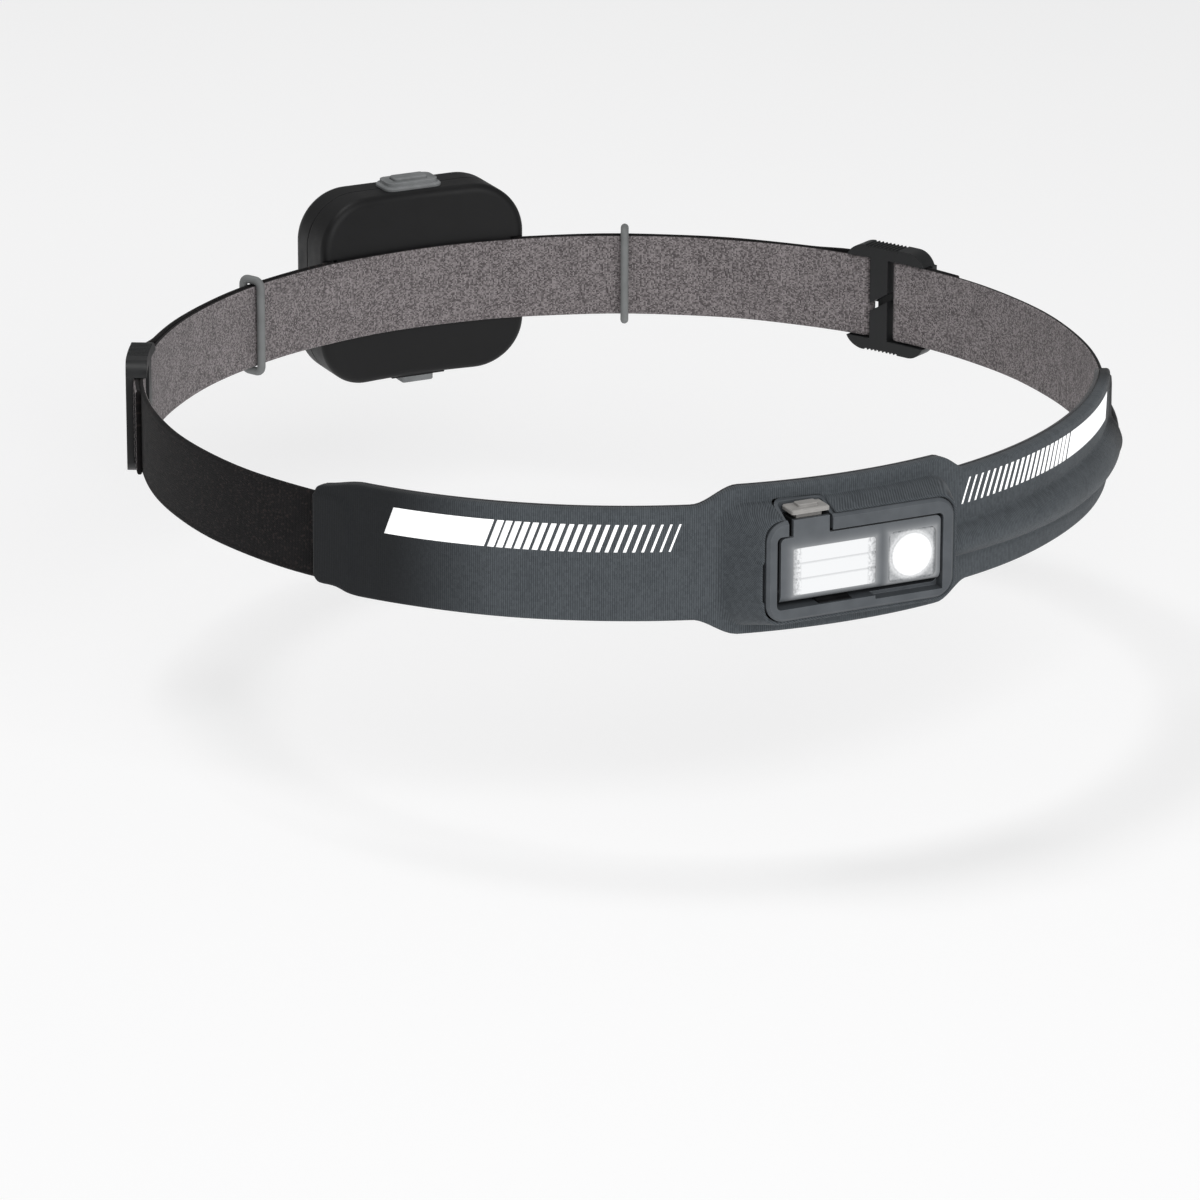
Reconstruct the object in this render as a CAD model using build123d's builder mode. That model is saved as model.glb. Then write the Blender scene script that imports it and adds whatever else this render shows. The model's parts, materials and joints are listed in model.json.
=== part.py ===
from build123d import *
import os
from math import cos, radians, sin

os.makedirs("parts", exist_ok=True)

# Running headlamp, in millimetres. The origin is the centre of the headband loop at the
# strap's mid height. +Z is up, the lamp faces -Y and the battery pack sits at +Y.
# Loop angles are in degrees from the forehead (-Y), positive towards +X.

# Headband
LOOP_R = 110.6
STRAP_T = 1.2
STRAP_W = 20.0
STRAP_IN = LOOP_R - STRAP_T / 2
STRAP_OUT = LOOP_R + STRAP_T / 2
LAYER_GAP = 0.1
TAIL_R = LOOP_R + STRAP_T + 4 * LAYER_GAP

# Moulded fabric front panel and its forehead lining
PANEL_OUT = 112.4
PANEL_LOW = -11.85
PANEL_HIGH = 13.9
PANEL_BEND = 58.0
PANEL_END = 63.3
END_LOW = -9.4
END_HIGH = 11.6
POCKET_DEPTH = 7.5
FIELD_LEFT = -26.1
FIELD_RIGHT = 24.0
FIELD_LOW = -15.7
FIELD_HIGH = 18.0
LINING_T = 1.0
CORE_R = 95.0
CORE_DEPTH = 30.0

# Fabric dome round the lamp: its foot and its lip
DOME_FOOT_Y = 108.0
DOME_LIP_Y = 117.9
DOME_FOOT = (-30.4, 26.8, -14.4, 16.1)
DOME_LIP = (-24.0, 23.9, -11.8, 12.3)

# Lamp frame
FRAME_W = 46.0
FRAME_H = 23.0
FRAME_Z = 0.5
FRAME_R = 4.5
FRAME_FRONT = 118.6
FRAME_BACK = 111.0
FLANGE_T = 1.2
FLANGE_W = 49.0
FLANGE_H = 25.4
FLANGE_R = 4.75
WINDOW_LEFT = -20.7
WINDOW_RIGHT = 20.1
WINDOW_LOW = -8.1
WINDOW_HIGH = 8.65
WINDOW_R = 1.2
LEDGE_X = 3.5
LEDGE_DROP = 0.8
FIT = 0.25
BUTTON_X = -12.5
BAY_W = 10.8
BAY_BACK = 112.0
BAY_WALL = 0.8
BAY_R = 1.4
RIM_FRONT_Z = 11.5
RIM_BACK_Z = 15.0
SCREW_X = 21.75
SCREW_Z = 9.4
SCREW_R = 0.7
SCREW_SEAT = 109.6
SCREW_TIP = 114.3
SCREW_HEAD_T = 0.6

# Depths, widths and heights that cutting blocks reach, clear of the part
CUT_FRONT = 125.0
CUT_BACK = 105.0
CLEAR_HALF = 30.0
DOME_CUT_Z = 20.0
RING_HALF = 40.0

# Tilting lamp module
MODULE_HALF = 19.6
MODULE_FRONT = 118.2
MODULE_BACK = 112.0
MODULE_TOP = 8.1
BARREL_R = 2.6
PIVOT_Y = MODULE_FRONT - BARREL_R
PIVOT_Z = -4.6
FACE_T = 1.0
SEAL_T = 0.3
TAB_X = -12.2
TAB_W = 8.8
TAB_TOP = 12.0
TAB_BACK = 112.8
FLOOD_X = -6.4
FLOOD_W = 20.1
FLOOD_H = 10.6
SPOT_X = 12.7
SPOT_Z = -0.1
SPOT_SIDE = 11.6
SPOT_R = 5.0
PIN_R = 0.6
PIN_FROM = 18.5
PIN_TO = 22.0
RUNNING = 0.05
CAVITY_W = 36.8
CAVITY_LOW = -5.4
CAVITY_HIGH = 7.0
CAVITY_BACK = 113.2
LED_T = 0.7
FLOOD_LED = 2.8
FLOOD_LED_PITCH = 6.2
SPOT_LED = 3.4
GROOVE_R = 0.3

# Lamp button
CAP_W = 9.2
CAP_D = 5.4
CAP_BOTTOM = 13.1
CAP_TOP = 14.1
PAD_TOP = 14.8
PAD_Y = 115.3
PLUNGER_Y = 115.2
STEM_HALF = 3.05

# Cable and its channel on the right of the panel
CABLE_R = 0.8
CABLE_Z = -2.0
CHANNEL_R = 114.0
CHANNEL_HALF = 4.5
CHANNEL_OUT = 115.4
CHANNEL_FROM = 10.0
CHANNEL_END = 60.0
CABLE_OUTER_R = 116.1
CABLE_STARTS = 13.5
CABLE_LEAD = 5.6
CABLE_LEAVES = 98.0
CABLE_CLEAR = 109.0
CABLE_ARRIVES = 158.0
GROMMET_R = CABLE_R + 0.6
GROMMET_BORE = CABLE_R + 0.65

# Sliders
SLIDER_MID = 118.05
SLIDER_L = 23.0
SLIDER_LOW = -13.2
SLIDER_HIGH = 13.3
SLIDER_IN = 109.4
SLIDER_OUT = 114.3
SLIDER_SLOPE = 4.0
SLIDER_NOSE_R = 5.0
SLOT_HALF = 10.25
FRONT_TURN = 116.5
REAR_TURN = 121.8
FRONT_BAR_END = 115.6
REAR_BAR_END = 123.9
CROSS_BAR_IN = 112.65
CROSS_BAR_FROM = 112.1
CROSS_BAR_TO = 113.4
SPLIT_BAR_FROM = 117.85
SPLIT_BAR_TO = 120.45
SPLIT_BAR_OUT = 112.4
SPLIT_GAP = 1.7
SPLIT_TILT = -32
TURN_R = 1.6
BAR_T = 1.8
TOOTH_R = 0.46
TOOTH_PITCH = 1.08
TOOTH_COUNT = 9
TOOTH_FROM = -3.0
WEB_IN = 113.2
WEB_FROM = 117.9
WEB_TO = 120.4
SEWN_FROM = 107.6
SEWN_TO = 113.3

# Keepers
KEEPER_AT = 153.5
KEEPER_WIRE = 2.0

# Battery pack
PACK_W = 54.0
PACK_LOW = -22.8
PACK_HIGH = 24.0
PACK_R = 12.5
PACK_IN = 111.6
PACK_OUT = 127.6
PACK_WALL = 1.8
PACK_SPLIT = 118.0
PACK_EDGE = 4.5
SEAM_T = 0.4
SEAM_STEP = 0.1
SEAM_W = 1.3
PACK_BUTTON_Y = 118.2
PACK_INNER_EDGE = 2.0
POST_X = 20.3
POST_Z = 7.0
POST_R = 2.2
LIP_T = 0.3
STRAP_ANCHOR = 167.6
SWITCH_SLOT_HALF = 2.2
PACK_STEM_HALF = 1.9
RED_W = 24.0
RED_H = 8.0
USB_Y = 115.5
USB_COVER_T = 1.5
PACK_SCREW_R = 0.9
PACK_SCREW_HEAD_R = 1.6
PACK_SCREW_SEAT = 111.2
PACK_SCREW_TIP = 123.0

PACK_H = PACK_HIGH - PACK_LOW
PACK_Z = (PACK_HIGH + PACK_LOW) / 2


def around(radius, degrees, z=0.0):
    """Point at an angle round the loop."""
    return (radius * sin(radians(degrees)), -radius * cos(radians(degrees)), z)


def on_loop(radius, degrees, z=0.0):
    """Plane that touches the loop: x along it, y up, normal outwards."""
    turn = radians(degrees)
    return Plane(
        origin=around(radius, degrees, z),
        x_dir=(cos(turn), sin(turn), 0),
        z_dir=(sin(turn), -cos(turn), 0),
    )


def band(inner, outer, start, end, low, high):
    """Part of a ring, from one loop angle to another."""
    with BuildPart() as piece:
        with BuildSketch(Plane.XY.offset(low)):
            with BuildLine():
                outer_arc = CenterArc((0, 0), outer, start - 90, end - start)
                inner_arc = CenterArc((0, 0), inner, start - 90, end - start)
                Line(outer_arc @ 0, inner_arc @ 0)
                Line(outer_arc @ 1, inner_arc @ 1)
            make_face()
        extrude(amount=high - low)
    return piece.part


def ring(inner, outer, low, high):
    """Full ring round the head."""
    with BuildPart() as piece:
        with BuildSketch(Plane.XY.offset(low)):
            Circle(outer)
            Circle(inner, mode=Mode.SUBTRACT)
        extrude(amount=high - low)
    return piece.part


def block(x_low, x_high, front, back, z_low, z_high):
    """Box between two depths in front of (positive) or behind (negative) the centre."""
    with BuildPart() as piece:
        with BuildSketch(Plane.XZ.offset(back)):
            with Locations(((x_low + x_high) / 2, (z_low + z_high) / 2)):
                Rectangle(x_high - x_low, z_high - z_low)
        extrude(amount=front - back)
    return piece.part


def rounded_block(width, height, radius, front, back, x=0.0, z=0.0):
    """Block facing -Y with rounded corners, between two depths."""
    with BuildPart() as piece:
        with BuildSketch(Plane.XZ.offset(back)):
            with Locations((x, z)):
                RectangleRounded(width, height, radius)
        extrude(amount=front - back)
    return piece.part


def corners(half_x, half_z, mid_z):
    """The four (x, z) corners of a rectangle centred on x = 0."""
    return [(side * half_x, mid_z + level * half_z) for side in (-1, 1) for level in (-1, 1)]


def bay_prism(wall, front, low, high):
    """Upright prism with rounded corners round the lamp button, larger than the bay by a wall."""
    depth = front - BAY_BACK + wall
    with BuildPart() as piece:
        with BuildSketch(Plane.XY.offset(low)):
            with Locations((BUTTON_X, depth / 2 - front)):
                RectangleRounded(BAY_W + 2 * wall, depth, BAY_R + wall)
        extrude(amount=high - low)
    return piece.part


def strap_turn(degrees, bulge):
    """Half turn of strap round a slider bar; it bulges towards +1 or -1 along the loop."""
    centre = LOOP_R + TURN_R
    halfway = on_loop(centre, degrees)
    with BuildPart() as piece:
        with BuildSketch(Plane.XY.offset(-STRAP_W / 2)):
            with Locations(around(centre, degrees)[:2]):
                Circle(TURN_R + STRAP_T / 2)
                Circle(TURN_R - STRAP_T / 2, mode=Mode.SUBTRACT)
        extrude(amount=STRAP_W)
        split(bisect_by=Plane(origin=halfway.origin, z_dir=halfway.x_dir * bulge), keep=Keep.TOP)
    return piece.part


def rod(start, end, radius):
    """Round bar between two points."""
    with BuildPart() as piece:
        with BuildLine() as axis:
            Line(start, end)
        with BuildSketch(Plane(origin=axis.line @ 0, z_dir=axis.line % 0)):
            Circle(radius)
        sweep(path=axis.line)
    return piece.part


def stud(spot, near, far, radius):
    """Round bar along Y through an (x, z) spot."""
    return rod((spot[0], near, spot[1]), (spot[0], far, spot[1]), radius)


def cable(radius):
    """The lamp's supply cable, or the bore it lies in, as a swept circle."""
    entry = on_loop(CHANNEL_R, CABLE_STARTS, CABLE_Z)
    with BuildPart() as piece:
        with BuildLine() as run:
            channel = CenterArc(
                (0, 0, CABLE_Z), CHANNEL_R, CABLE_STARTS - 90, CABLE_LEAVES - CABLE_STARTS
            )
            outside = CenterArc(
                (0, 0, CABLE_Z), CABLE_OUTER_R, CABLE_CLEAR - 90, CABLE_ARRIVES - CABLE_CLEAR
            )
            Line(entry.origin - entry.x_dir * CABLE_LEAD, channel @ 0)
            Spline(channel @ 1, outside @ 0, tangents=(channel % 1, outside % 0))
            Spline(
                outside @ 1,
                (PACK_W / 2 - 3.0, PACK_SPLIT - 2.0, CABLE_Z),
                tangents=(outside % 1, (-1, 0, 0)),
            )
        path = run.wire()
        with BuildSketch(Plane(origin=path @ 0, z_dir=path % 0)):
            Circle(radius)
        sweep(path=path)
    return piece.part


def finish(piece, name):
    """Label a finished piece and write it."""
    piece.label = name
    export_step(piece, f"parts/{name}.step")


cable_bore = cable(CABLE_R + 0.2)
SCREW_SPOTS = corners(SCREW_X, SCREW_Z, FRAME_Z)
POST_SPOTS = corners(POST_X, POST_Z, PACK_Z)

# ---------------------------------------------------------------- front panel

with BuildPart() as panel_outline:
    add(band(CORE_R, CORE_R + CORE_DEPTH, -PANEL_BEND, PANEL_BEND, PANEL_LOW, PANEL_HIGH))
    end_mid = (PANEL_BEND + PANEL_END) / 2
    end_half = radians(PANEL_END - PANEL_BEND) / 2 * PANEL_OUT
    for side in (-1, 1):
        with BuildSketch(on_loop(CORE_R, side * end_mid)):
            Polygon(
                (-side * (end_half + 1), PANEL_LOW),
                (-side * (end_half + 1), PANEL_HIGH),
                (-side * end_half, PANEL_HIGH),
                (side * end_half, END_HIGH),
                (side * end_half, END_LOW),
                (-side * end_half, PANEL_LOW),
                align=None,
            )
        extrude(amount=CORE_DEPTH)
    with BuildSketch(Plane.XZ.offset(CORE_R)) as field:
        Polygon(
            (FIELD_LEFT - 9, PANEL_LOW),
            (FIELD_LEFT, FIELD_LOW),
            (FIELD_RIGHT, FIELD_LOW),
            (FIELD_RIGHT + 8, PANEL_LOW),
            (FIELD_RIGHT + 8, PANEL_HIGH),
            (FIELD_RIGHT, FIELD_HIGH),
            (FIELD_LEFT, FIELD_HIGH),
            (FIELD_LEFT - 9, PANEL_HIGH),
            align=None,
        )
        fillet(field.vertices().filter_by_position(Axis.X, -27, 25), radius=6)
    extrude(amount=CORE_DEPTH)

with BuildPart() as dome:
    for depth, (left, right, low, high), radius in (
        (DOME_FOOT_Y, DOME_FOOT, 8.0),
        (DOME_LIP_Y, DOME_LIP, 5.0),
    ):
        with BuildSketch(Plane.XZ.offset(depth)):
            with Locations(((left + right) / 2, (low + high) / 2)):
                RectangleRounded(right - left, high - low, radius)
    loft()
    add(ring(CORE_R, STRAP_IN, -RING_HALF, RING_HALF), mode=Mode.SUBTRACT)

with BuildPart() as channel_bead:
    with BuildSketch(Plane.XZ):
        with BuildLine():
            foot_low = (PANEL_OUT - 1, CABLE_Z - CHANNEL_HALF)
            foot_high = (PANEL_OUT - 1, CABLE_Z + CHANNEL_HALF)
            ThreePointArc(foot_low, (CHANNEL_OUT, CABLE_Z), foot_high)
            Line(foot_high, foot_low)
        make_face()
    revolve(axis=Axis.Z, revolution_arc=CHANNEL_END - CHANNEL_FROM)

bead_turned = channel_bead.part.rotate(Axis.Z, CHANNEL_FROM - 90)

with BuildPart() as front_panel:
    add(ring(STRAP_IN, PANEL_OUT, -RING_HALF, RING_HALF))
    add(panel_outline.part, mode=Mode.INTERSECT)
    add(dome.part)
    add(bead_turned)
    # Opening for the lamp frame, its flange and the button bay
    frame_hole = (FRAME_W + 2 * FIT, FRAME_H + 2 * FIT, FRAME_R + FIT)
    flange_hole = (FLANGE_W + 2 * FIT, FLANGE_H + 2 * FIT, FLANGE_R + FIT)
    flange_front = FRAME_BACK + FLANGE_T + FIT
    add(rounded_block(*frame_hole, CUT_FRONT, CUT_BACK, 0, FRAME_Z), mode=Mode.SUBTRACT)
    add(rounded_block(*flange_hole, flange_front, CUT_BACK, 0, FRAME_Z), mode=Mode.SUBTRACT)
    add(bay_prism(BAY_WALL + FIT, CUT_FRONT, FRAME_Z, DOME_CUT_Z), mode=Mode.SUBTRACT)
    # Pockets for the two strap ends, and the cable's bore
    for side in (-1, 1):
        pocket_from = PANEL_END - POCKET_DEPTH
        pocket = sorted((side * pocket_from, side * (PANEL_END + 2)))
        add(
            band(
                STRAP_IN - 1, STRAP_OUT + LAYER_GAP, *pocket, -STRAP_W / 2 - FIT, STRAP_W / 2 + FIT
            ),
            mode=Mode.SUBTRACT,
        )
    add(cable_bore, mode=Mode.SUBTRACT)
finish(front_panel.part, "front_panel")

with BuildPart() as forehead_lining:
    add(ring(STRAP_IN - LAYER_GAP - LINING_T, STRAP_IN - LAYER_GAP, -RING_HALF, RING_HALF))
    add(panel_outline.part, mode=Mode.INTERSECT)
finish(forehead_lining.part, "forehead_lining")


# ---------------------------------------------------------------- reflective print

PRINT_IN = PANEL_OUT + 0.02
PRINT_T = 0.1
STRIPE_PITCH = 1.0
STRIPE_LEAN = 1.2


def reflective_print(low, high, solid_from, solid_to, stripes, step):
    """Solid block and its tapering slanted stripes, on the panel's outer face."""
    middle = (low + high) / 2
    lean = radians(STRIPE_LEAN) * PRINT_IN / 2
    with BuildPart() as bars:
        spans = [((solid_from + solid_to) / 2, abs(solid_to - solid_from))]
        for count in range(stripes):
            width = STRIPE_PITCH * (0.85 - 0.7 * count / stripes)
            spans.append((solid_to + step * (0.75 + count), width))
        for angle, width in spans:
            half = radians(width) * PRINT_IN / 2
            with BuildSketch(on_loop(CORE_R, angle, middle)):
                Polygon(
                    (-half - lean, low - middle),
                    (half - lean, low - middle),
                    (half + lean, high - middle),
                    (-half + lean, high - middle),
                    align=None,
                )
            extrude(amount=CORE_DEPTH)
        add(ring(PRINT_IN, PRINT_IN + PRINT_T, low - 1, high + 1), mode=Mode.INTERSECT)
    return bars.part


finish(reflective_print(4.25, 10.5, -54.0, -41.2, 21, STRIPE_PITCH), "reflective_left")
finish(reflective_print(6.0, 11.8, 53.0, 37.5, 20, -STRIPE_PITCH), "reflective_right")

# ---------------------------------------------------------------- lamp frame

with BuildPart() as button_bay:
    with BuildSketch(Plane.YZ.offset(BUTTON_X - BAY_W / 2 - BAY_WALL)):
        Polygon(
            (-FRAME_FRONT + BAY_WALL, FRAME_Z),
            (-FRAME_FRONT + BAY_WALL, RIM_FRONT_Z),
            (-BAY_BACK + BAY_WALL, RIM_BACK_Z),
            (-BAY_BACK + BAY_WALL, FRAME_Z),
            align=None,
        )
    extrude(amount=BAY_W + 2 * BAY_WALL)
    add(bay_prism(BAY_WALL, CUT_FRONT, FRAME_Z, DOME_CUT_Z), mode=Mode.INTERSECT)

with BuildPart() as lamp_frame:
    with BuildSketch(Plane.XZ.offset(FRAME_BACK)):
        with Locations((0, FRAME_Z)):
            RectangleRounded(FRAME_W, FRAME_H, FRAME_R)
    extrude(amount=FRAME_FRONT - FRAME_BACK)
    chamfer(faces().sort_by(Axis.Y)[0].edges(), length=0.7)
    flange = (FLANGE_W, FLANGE_H, FLANGE_R)
    add(rounded_block(*flange, FRAME_BACK + FLANGE_T, FRAME_BACK, 0, FRAME_Z))
    # Raised bay round the button, sloping back with the fabric
    add(button_bay.part)
    # Window, its lower step under the spot, and the bay itself
    add(
        rounded_block(
            WINDOW_RIGHT - WINDOW_LEFT,
            WINDOW_HIGH - WINDOW_LOW,
            WINDOW_R,
            CUT_FRONT,
            CUT_BACK,
            (WINDOW_LEFT + WINDOW_RIGHT) / 2,
            (WINDOW_LOW + WINDOW_HIGH) / 2,
        ),
        mode=Mode.SUBTRACT,
    )
    add(
        block(LEDGE_X, WINDOW_RIGHT, CUT_FRONT, PIVOT_Y, WINDOW_LOW - LEDGE_DROP, 0),
        mode=Mode.SUBTRACT,
    )
    add(bay_prism(0, CUT_FRONT, WINDOW_HIGH - 1, DOME_CUT_Z), mode=Mode.SUBTRACT)
    # Pin bores in the two side walls
    for side in (-1, 1):
        add(
            rod(
                (side * PIN_FROM, -PIVOT_Y, PIVOT_Z),
                (side * (PIN_TO + 0.2), -PIVOT_Y, PIVOT_Z),
                PIN_R + RUNNING,
            ),
            mode=Mode.SUBTRACT,
        )
    for spot in SCREW_SPOTS:
        add(stud(spot, -FRAME_BACK + 1, -SCREW_TIP - 0.3, SCREW_R + 0.02), mode=Mode.SUBTRACT)
    cable_start = on_loop(CHANNEL_R, CABLE_STARTS, CABLE_Z)
    grommet_axis = [cable_start.origin + cable_start.x_dir * reach for reach in (-7.5, 1.0)]
    add(rod(*grommet_axis, GROMMET_BORE), mode=Mode.SUBTRACT)
finish(lamp_frame.part, "lamp_frame")

with BuildPart() as cable_grommet:
    grommet_back = cable_start.origin - cable_start.x_dir * CABLE_LEAD
    add(rod(grommet_back, cable_start.origin, GROMMET_R))
    add(cable(CABLE_R + 0.02), mode=Mode.SUBTRACT)
    add(block(20.4, 23.2, CUT_FRONT, CUT_BACK, -8, 8), mode=Mode.INTERSECT)
finish(cable_grommet.part, "cable_grommet")

with BuildPart() as frame_backplate:
    add(rounded_block(*flange, FRAME_BACK, CORE_R, 0, FRAME_Z))
    add(ring(CORE_R - 20, STRAP_IN + LAYER_GAP, -RING_HALF, RING_HALF), mode=Mode.SUBTRACT)
    for spot in SCREW_SPOTS:
        add(stud(spot, -CORE_R, -FRAME_BACK - 1, SCREW_R + 0.02), mode=Mode.SUBTRACT)
        add(stud(spot, -CORE_R, -SCREW_SEAT, 2 * SCREW_R + 0.1), mode=Mode.SUBTRACT)
    add(rod(*grommet_axis, GROMMET_BORE), mode=Mode.SUBTRACT)
finish(frame_backplate.part, "frame_backplate")

with BuildPart() as backplate_screws:
    for spot in SCREW_SPOTS:
        add(stud(spot, SCREW_HEAD_T - SCREW_SEAT, -SCREW_SEAT, 2 * SCREW_R))
        add(stud(spot, -SCREW_SEAT, -SCREW_TIP, SCREW_R))
finish(backplate_screws.part, "backplate_screws")

with BuildPart() as detent_spring:
    leaf_z = WINDOW_LOW + 0.15
    crest_half = 0.9
    with BuildSketch(Plane.YZ.offset(-10)):
        with BuildLine():
            Polyline(
                (-PIVOT_Y - 2.2, leaf_z),
                (-PIVOT_Y - crest_half, leaf_z),
                (-PIVOT_Y, WINDOW_LOW + 0.6),
                (-PIVOT_Y + crest_half, leaf_z),
                (-FRAME_BACK - 0.2, leaf_z),
            )
            offset(amount=0.1, side=Side.BOTH)
        make_face()
    extrude(amount=8)
finish(detent_spring.part, "detent_spring")

# ---------------------------------------------------------------- lamp module

with BuildPart() as module_body:
    with BuildSketch(Plane.YZ.offset(-MODULE_HALF)):
        Polygon(
            (-MODULE_FRONT, PIVOT_Z),
            (-MODULE_FRONT, MODULE_TOP),
            (-MODULE_BACK - 1.2, MODULE_TOP),
            (-MODULE_BACK, MODULE_TOP - 1.2),
            (-MODULE_BACK, PIVOT_Z),
            align=None,
        )
        with Locations((-PIVOT_Y, PIVOT_Z)):
            Circle(BARREL_R)
    extrude(amount=2 * MODULE_HALF)
    fillet(
        edges().filter_by(Axis.Y).group_by(Axis.Z)[-1],
        radius=1.2,
    )
    add(block(TAB_X - TAB_W / 2, TAB_X + TAB_W / 2, MODULE_FRONT, TAB_BACK, 5, TAB_TOP))

SEAM_Y = MODULE_FRONT - FACE_T
HOUSING_Y = SEAM_Y - SEAL_T

with BuildPart() as lamp_face:
    add(module_body.part)
    split(bisect_by=Plane.XZ.offset(SEAM_Y), keep=Keep.TOP)
    with BuildSketch(Plane.XZ.offset(SEAM_Y - 1)):
        with Locations((FLOOD_X, 0)):
            RectangleRounded(FLOOD_W + 0.2, FLOOD_H + 0.2, 0.6)
        with Locations((SPOT_X, SPOT_Z)):
            RectangleRounded(SPOT_SIDE + 0.2, SPOT_SIDE + 0.2, 1.6)
    extrude(amount=4, mode=Mode.SUBTRACT)
finish(lamp_face.part, "lamp_face")

with BuildPart() as lens_gasket:
    add(module_body.part)
    gasket_span = (-6.2, 6.9)
    add(block(-CLEAR_HALF, CLEAR_HALF, SEAM_Y, HOUSING_Y, *gasket_span), mode=Mode.INTERSECT)
    with BuildSketch(Plane.XZ.offset(SEAM_Y - 1)):
        with Locations((FLOOD_X, 0)):
            RectangleRounded(FLOOD_W + 0.2, FLOOD_H + 0.2, 0.6)
        with Locations((SPOT_X, SPOT_Z)):
            RectangleRounded(SPOT_SIDE - 0.2, SPOT_SIDE - 0.2, 1.6)
    extrude(amount=4, mode=Mode.SUBTRACT)
finish(lens_gasket.part, "lens_gasket")

with BuildPart() as lamp_housing:
    add(module_body.part)
    split(bisect_by=Plane.XZ.offset(SEAM_Y), keep=Keep.BOTTOM)
    recess_span = (gasket_span[0] - 0.1, gasket_span[1] + 0.05)
    add(block(-CLEAR_HALF, CLEAR_HALF, SEAM_Y + 1, HOUSING_Y, *recess_span), mode=Mode.SUBTRACT)
    # Light chamber, switch well and button well
    add(
        block(-CAVITY_W / 2, CAVITY_W / 2, 120, CAVITY_BACK, CAVITY_LOW, CAVITY_HIGH),
        mode=Mode.SUBTRACT,
    )
    add(block(TAB_X - 3.0, TAB_X + 3.0, 116.6, 113.4, 5, 10.2), mode=Mode.SUBTRACT)
    add(block(TAB_X - 3.3, TAB_X + 3.3, 117.0, 113.4, 11.0, 13), mode=Mode.SUBTRACT)
    add(rod((TAB_X, -PLUNGER_Y, 9), (TAB_X, -PLUNGER_Y, 12), 0.9), mode=Mode.SUBTRACT)
    for side in (-1, 1):
        add(
            rod((side * 18, -PIVOT_Y, PIVOT_Z), (side * 20, -PIVOT_Y, PIVOT_Z), PIN_R + 0.01),
            mode=Mode.SUBTRACT,
        )
    # Detent grooves along the barrel
    for notch in range(4):
        angle = radians(notch * 13)
        groove = (-PIVOT_Y - sin(angle) * BARREL_R, PIVOT_Z - cos(angle) * BARREL_R)
        add(rod((-12, *groove), (0, *groove), 0.25), mode=Mode.SUBTRACT)
finish(lamp_housing.part, "lamp_housing")

with BuildPart() as lamp_hinge_pins:
    for side in (-1, 1):
        add(rod((side * PIN_FROM, -PIVOT_Y, PIVOT_Z), (side * PIN_TO, -PIVOT_Y, PIVOT_Z), PIN_R))
finish(lamp_hinge_pins.part, "lamp_hinge_pins")

LED_FACE = CAVITY_BACK + 0.9

with BuildPart() as led_board:
    add(block(-18.0, 18.0, LED_FACE, CAVITY_BACK + 0.1, CAVITY_LOW + 0.3, 6.6))
finish(led_board.part, "led_board")


def led(middle_x, middle_z, size):
    """Square light-emitting chip on the lamp's circuit board."""
    half = size / 2
    sides = (middle_z - half, middle_z + half)
    return block(middle_x - half, middle_x + half, LED_FACE + LED_T, LED_FACE + 0.02, *sides)


with BuildPart() as flood_leds:
    for column in (-1, 0, 1):
        add(led(FLOOD_X + column * FLOOD_LED_PITCH, 0, FLOOD_LED))
finish(flood_leds.part, "flood_leds")

with BuildPart() as spot_led:
    add(led(SPOT_X, SPOT_Z, SPOT_LED))
finish(spot_led.part, "spot_led")

with BuildPart() as flood_lens:
    add(rounded_block(FLOOD_W, FLOOD_H, 0.5, MODULE_FRONT - 0.1, HOUSING_Y - 1.1, FLOOD_X, 0))
    # Two grooves part the front into three bars
    for level in (-1, 1):
        with BuildSketch(Plane.YZ.offset(FLOOD_X - FLOOD_W / 2)):
            with Locations((-MODULE_FRONT + 0.1, level * FLOOD_H / 6)):
                Circle(GROOVE_R)
        extrude(amount=FLOOD_W, mode=Mode.SUBTRACT)
finish(flood_lens.part, "flood_lens")

with BuildPart() as spot_lens:
    add(rounded_block(SPOT_SIDE, SPOT_SIDE, 1.5, MODULE_FRONT - 0.4, SEAM_Y + 0.05, SPOT_X, SPOT_Z))
    with BuildSketch(Plane.XZ.offset(SEAM_Y + 0.05)):
        with Locations((SPOT_X, SPOT_Z)):
            Circle(SPOT_R)
    with BuildSketch(Plane.XZ.offset(LED_FACE + 0.9)):
        with Locations((SPOT_X, SPOT_Z)):
            Circle(2.2)
    loft()
    with BuildSketch(Plane.XZ.offset(MODULE_FRONT - 0.4)):
        with Locations((SPOT_X, SPOT_Z)):
            Circle(SPOT_R)
    extrude(amount=0.3)
finish(spot_lens.part, "spot_lens")

with BuildPart() as lamp_button:
    cap_front = MODULE_FRONT - 0.2
    cap_sides = (TAB_X - CAP_W / 2, TAB_X + CAP_W / 2)
    add(block(*cap_sides, cap_front, cap_front - CAP_D, CAP_BOTTOM, CAP_TOP))
    fillet(edges().filter_by(Axis.Z), radius=0.6)
    chamfer(faces().sort_by(Axis.Z)[-1].edges(), length=0.25)
    add(block(TAB_X - STEM_HALF, TAB_X + STEM_HALF, 116.8, 113.6, 11.7, CAP_BOTTOM))
    with BuildSketch(Plane.XY.offset(CAP_TOP)):
        with Locations((TAB_X, -PAD_Y)):
            RectangleRounded(4.8, 2.6, 0.5)
    extrude(amount=PAD_TOP - CAP_TOP)
    add(rod((TAB_X, -PLUNGER_Y, 11.7), (TAB_X, -PLUNGER_Y, 10.9), 0.7))
finish(lamp_button.part, "lamp_button")

with BuildPart() as lamp_switch:
    add(block(TAB_X - 2.4, TAB_X + 2.4, 116.4, 113.6, 7.2, 9.6))
    add(rod((TAB_X, -PLUNGER_Y, 9.6), (TAB_X, -PLUNGER_Y, 10.1), 0.9))
finish(lamp_switch.part, "lamp_switch")

# ---------------------------------------------------------------- headband

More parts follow.
